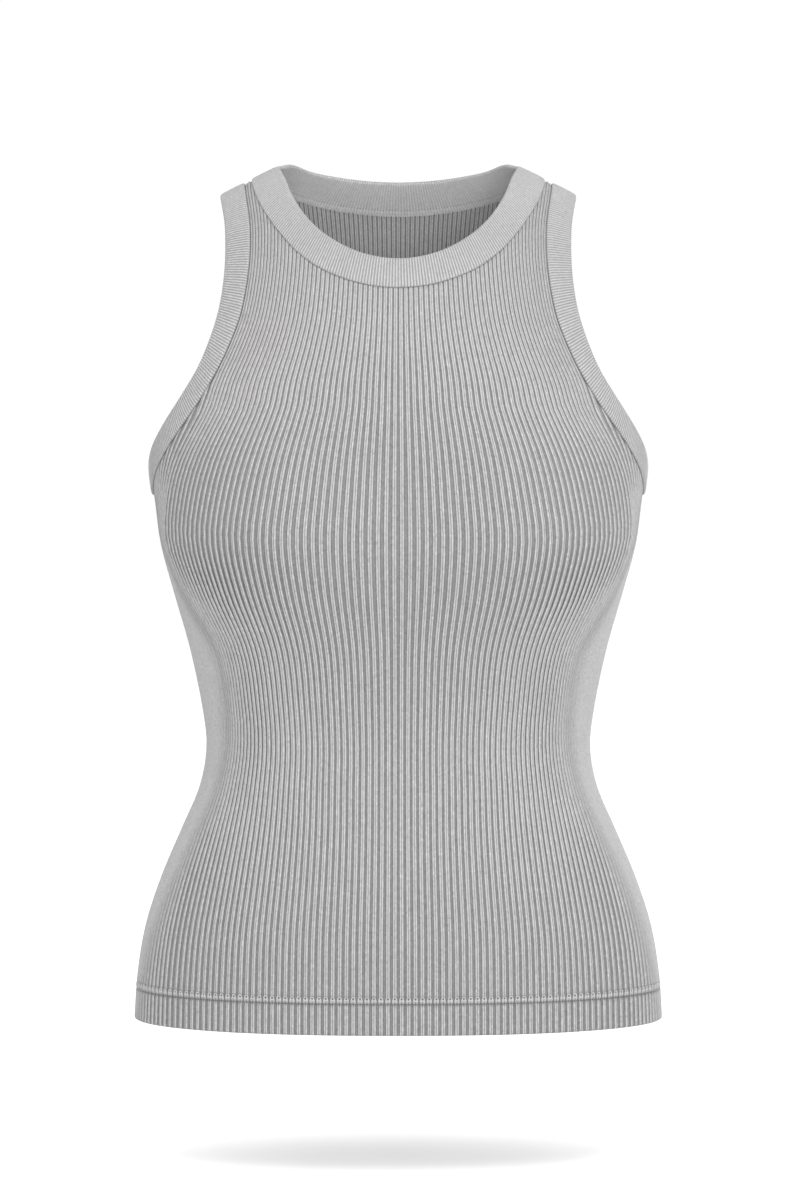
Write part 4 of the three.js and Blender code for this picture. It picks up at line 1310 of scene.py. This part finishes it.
# %% [markdown]
# The stage. The photograph was taken level, from far in front, against white. A long lens at 2.2 m keeps
# its flat perspective: one pixel of an 800 by 1200 picture is 0.62 mm in the plane of the side seams. The
# top floats a hand's breadth above a pale floor. The light is a white tent, brighter overhead, with a broad
# light in front that reaches into the neck, one above it and a weak one from each side. The floor also
# glows a little, painted light that leaves only a faint wide shadow under the top.

# %% Camera
PIXEL = 0.62  # mm for one pixel in the plane of the side seams
VIEW_DISTANCE = 2200
VIEW_CENTRE = (1.05, -267)  # x and z that the middle of the picture shows
PICTURE_HEIGHT = 1200
SENSOR = 36.0

camera = set_down("camera", bpy.data.cameras.new("camera"))
camera.location = (VIEW_CENTRE[0] * MM, -VIEW_DISTANCE * MM, VIEW_CENTRE[1] * MM)
camera.rotation_euler = (math.radians(90), 0, 0)
camera.data.sensor_width = SENSOR
camera.data.lens = SENSOR * VIEW_DISTANCE / (PICTURE_HEIGHT * PIXEL)
bpy.context.scene.camera = camera
print(f"lens {camera.data.lens:.1f} mm")

# %% Floor, light and world
FLOOR_Z = -614
FLOOR_HALF = 12.0
FLOOR_PAINTED_GLOW = 0.12  # painted light: the floor glows a little, so the shadow under the top stays faint
WHITE_WALL, WHITE_CEILING = 1.02, 1.4  # the light tent is brighter overhead
CEILING_FROM = 0.1  # so far above level the tent begins to grow brighter

floor_mesh = bpy.data.meshes.new("floor")
corners = [(x * FLOOR_HALF, y * FLOOR_HALF, FLOOR_Z * MM) for x, y in ((-1, -1), (1, -1), (1, 1), (-1, 1))]
floor_mesh.from_pydata(corners, [], [(0, 1, 2, 3)])
floor = set_down("floor", floor_mesh)
floor_paint, _, paint = new_finish("pale floor")
paint.inputs["Base Color"].default_value = grey(0.8)
# The floor's glow is painted light.
paint.inputs["Emission Color"].default_value = grey(1.0)
paint.inputs["Emission Strength"].default_value = FLOOR_PAINTED_GLOW
paint.inputs["Roughness"].default_value = 0.95
paint.inputs["Specular IOR Level"].default_value = 0.0
floor_mesh.materials.append(floor_paint)


def soft_light(name, place, aim, size, power):
    data = bpy.data.lights.new(name, "AREA")
    data.shape, data.size, data.energy = "DISK", size, power
    light = set_down(name, data)
    light.location = place
    across, away, up = np.array(aim) - np.array(place)
    tilt = math.pi / 2 - math.atan2(-up, math.hypot(across, away))
    light.rotation_euler = (tilt, 0, math.atan2(away, across) - math.pi / 2)
    print(f"{name}: {power} W")


soft_light("light above in front", (0.3, -1.6, 1.9), (0, 0, -0.2), 1.4, 45)
soft_light("light in front", (0.3, -2.7, -0.15), (0, 0, -0.1), 1.2, 90)
soft_light("light from the right", (2.0, -0.9, 0.2), (0, 0, -0.3), 1.2, 14)
soft_light("light from the left", (-2.0, -0.9, 0.2), (0, 0, -0.3), 1.2, 12)

world = bpy.data.worlds.new("white studio")
world.use_nodes = True
sky = Nodes(world.node_tree)
direction = sky.node("ShaderNodeTexCoord").outputs["Generated"]
upward = sky.node("ShaderNodeSeparateXYZ", Vector=direction).outputs["Z"]
glow = sky.ramp(upward, CEILING_FROM, 1.0, WHITE_WALL, WHITE_CEILING)
world.node_tree.nodes["Background"].inputs["Color"].default_value = grey(1.0)
sky.feed(world.node_tree.nodes["Background"].inputs["Strength"], glow)
bpy.context.scene.world = world
bpy.context.scene.view_settings.view_transform = "Standard"

# %% [markdown]
# The pieces. Every piece rides on the one rigid body, and the solid that it stands for in the packed model
# is hidden. The panels are cut smaller than they are worn, because rib knit stretches, and a folded band is
# sewn on a little short of its middle line. A folded band is declared by the width that shows and a length
# a little short of its middle line, as it is sewn on.

BODY = "root"
sewn_on = {name: [hem_stitches[name]] for name in panels}
sewn_on.update({name: [overlocks[name]] for name in bands})

for name, piece in {**walls, **bands}.items():
    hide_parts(name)
    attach(piece, BODY)
    for extra in sewn_on[name]:
        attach(extra, BODY)
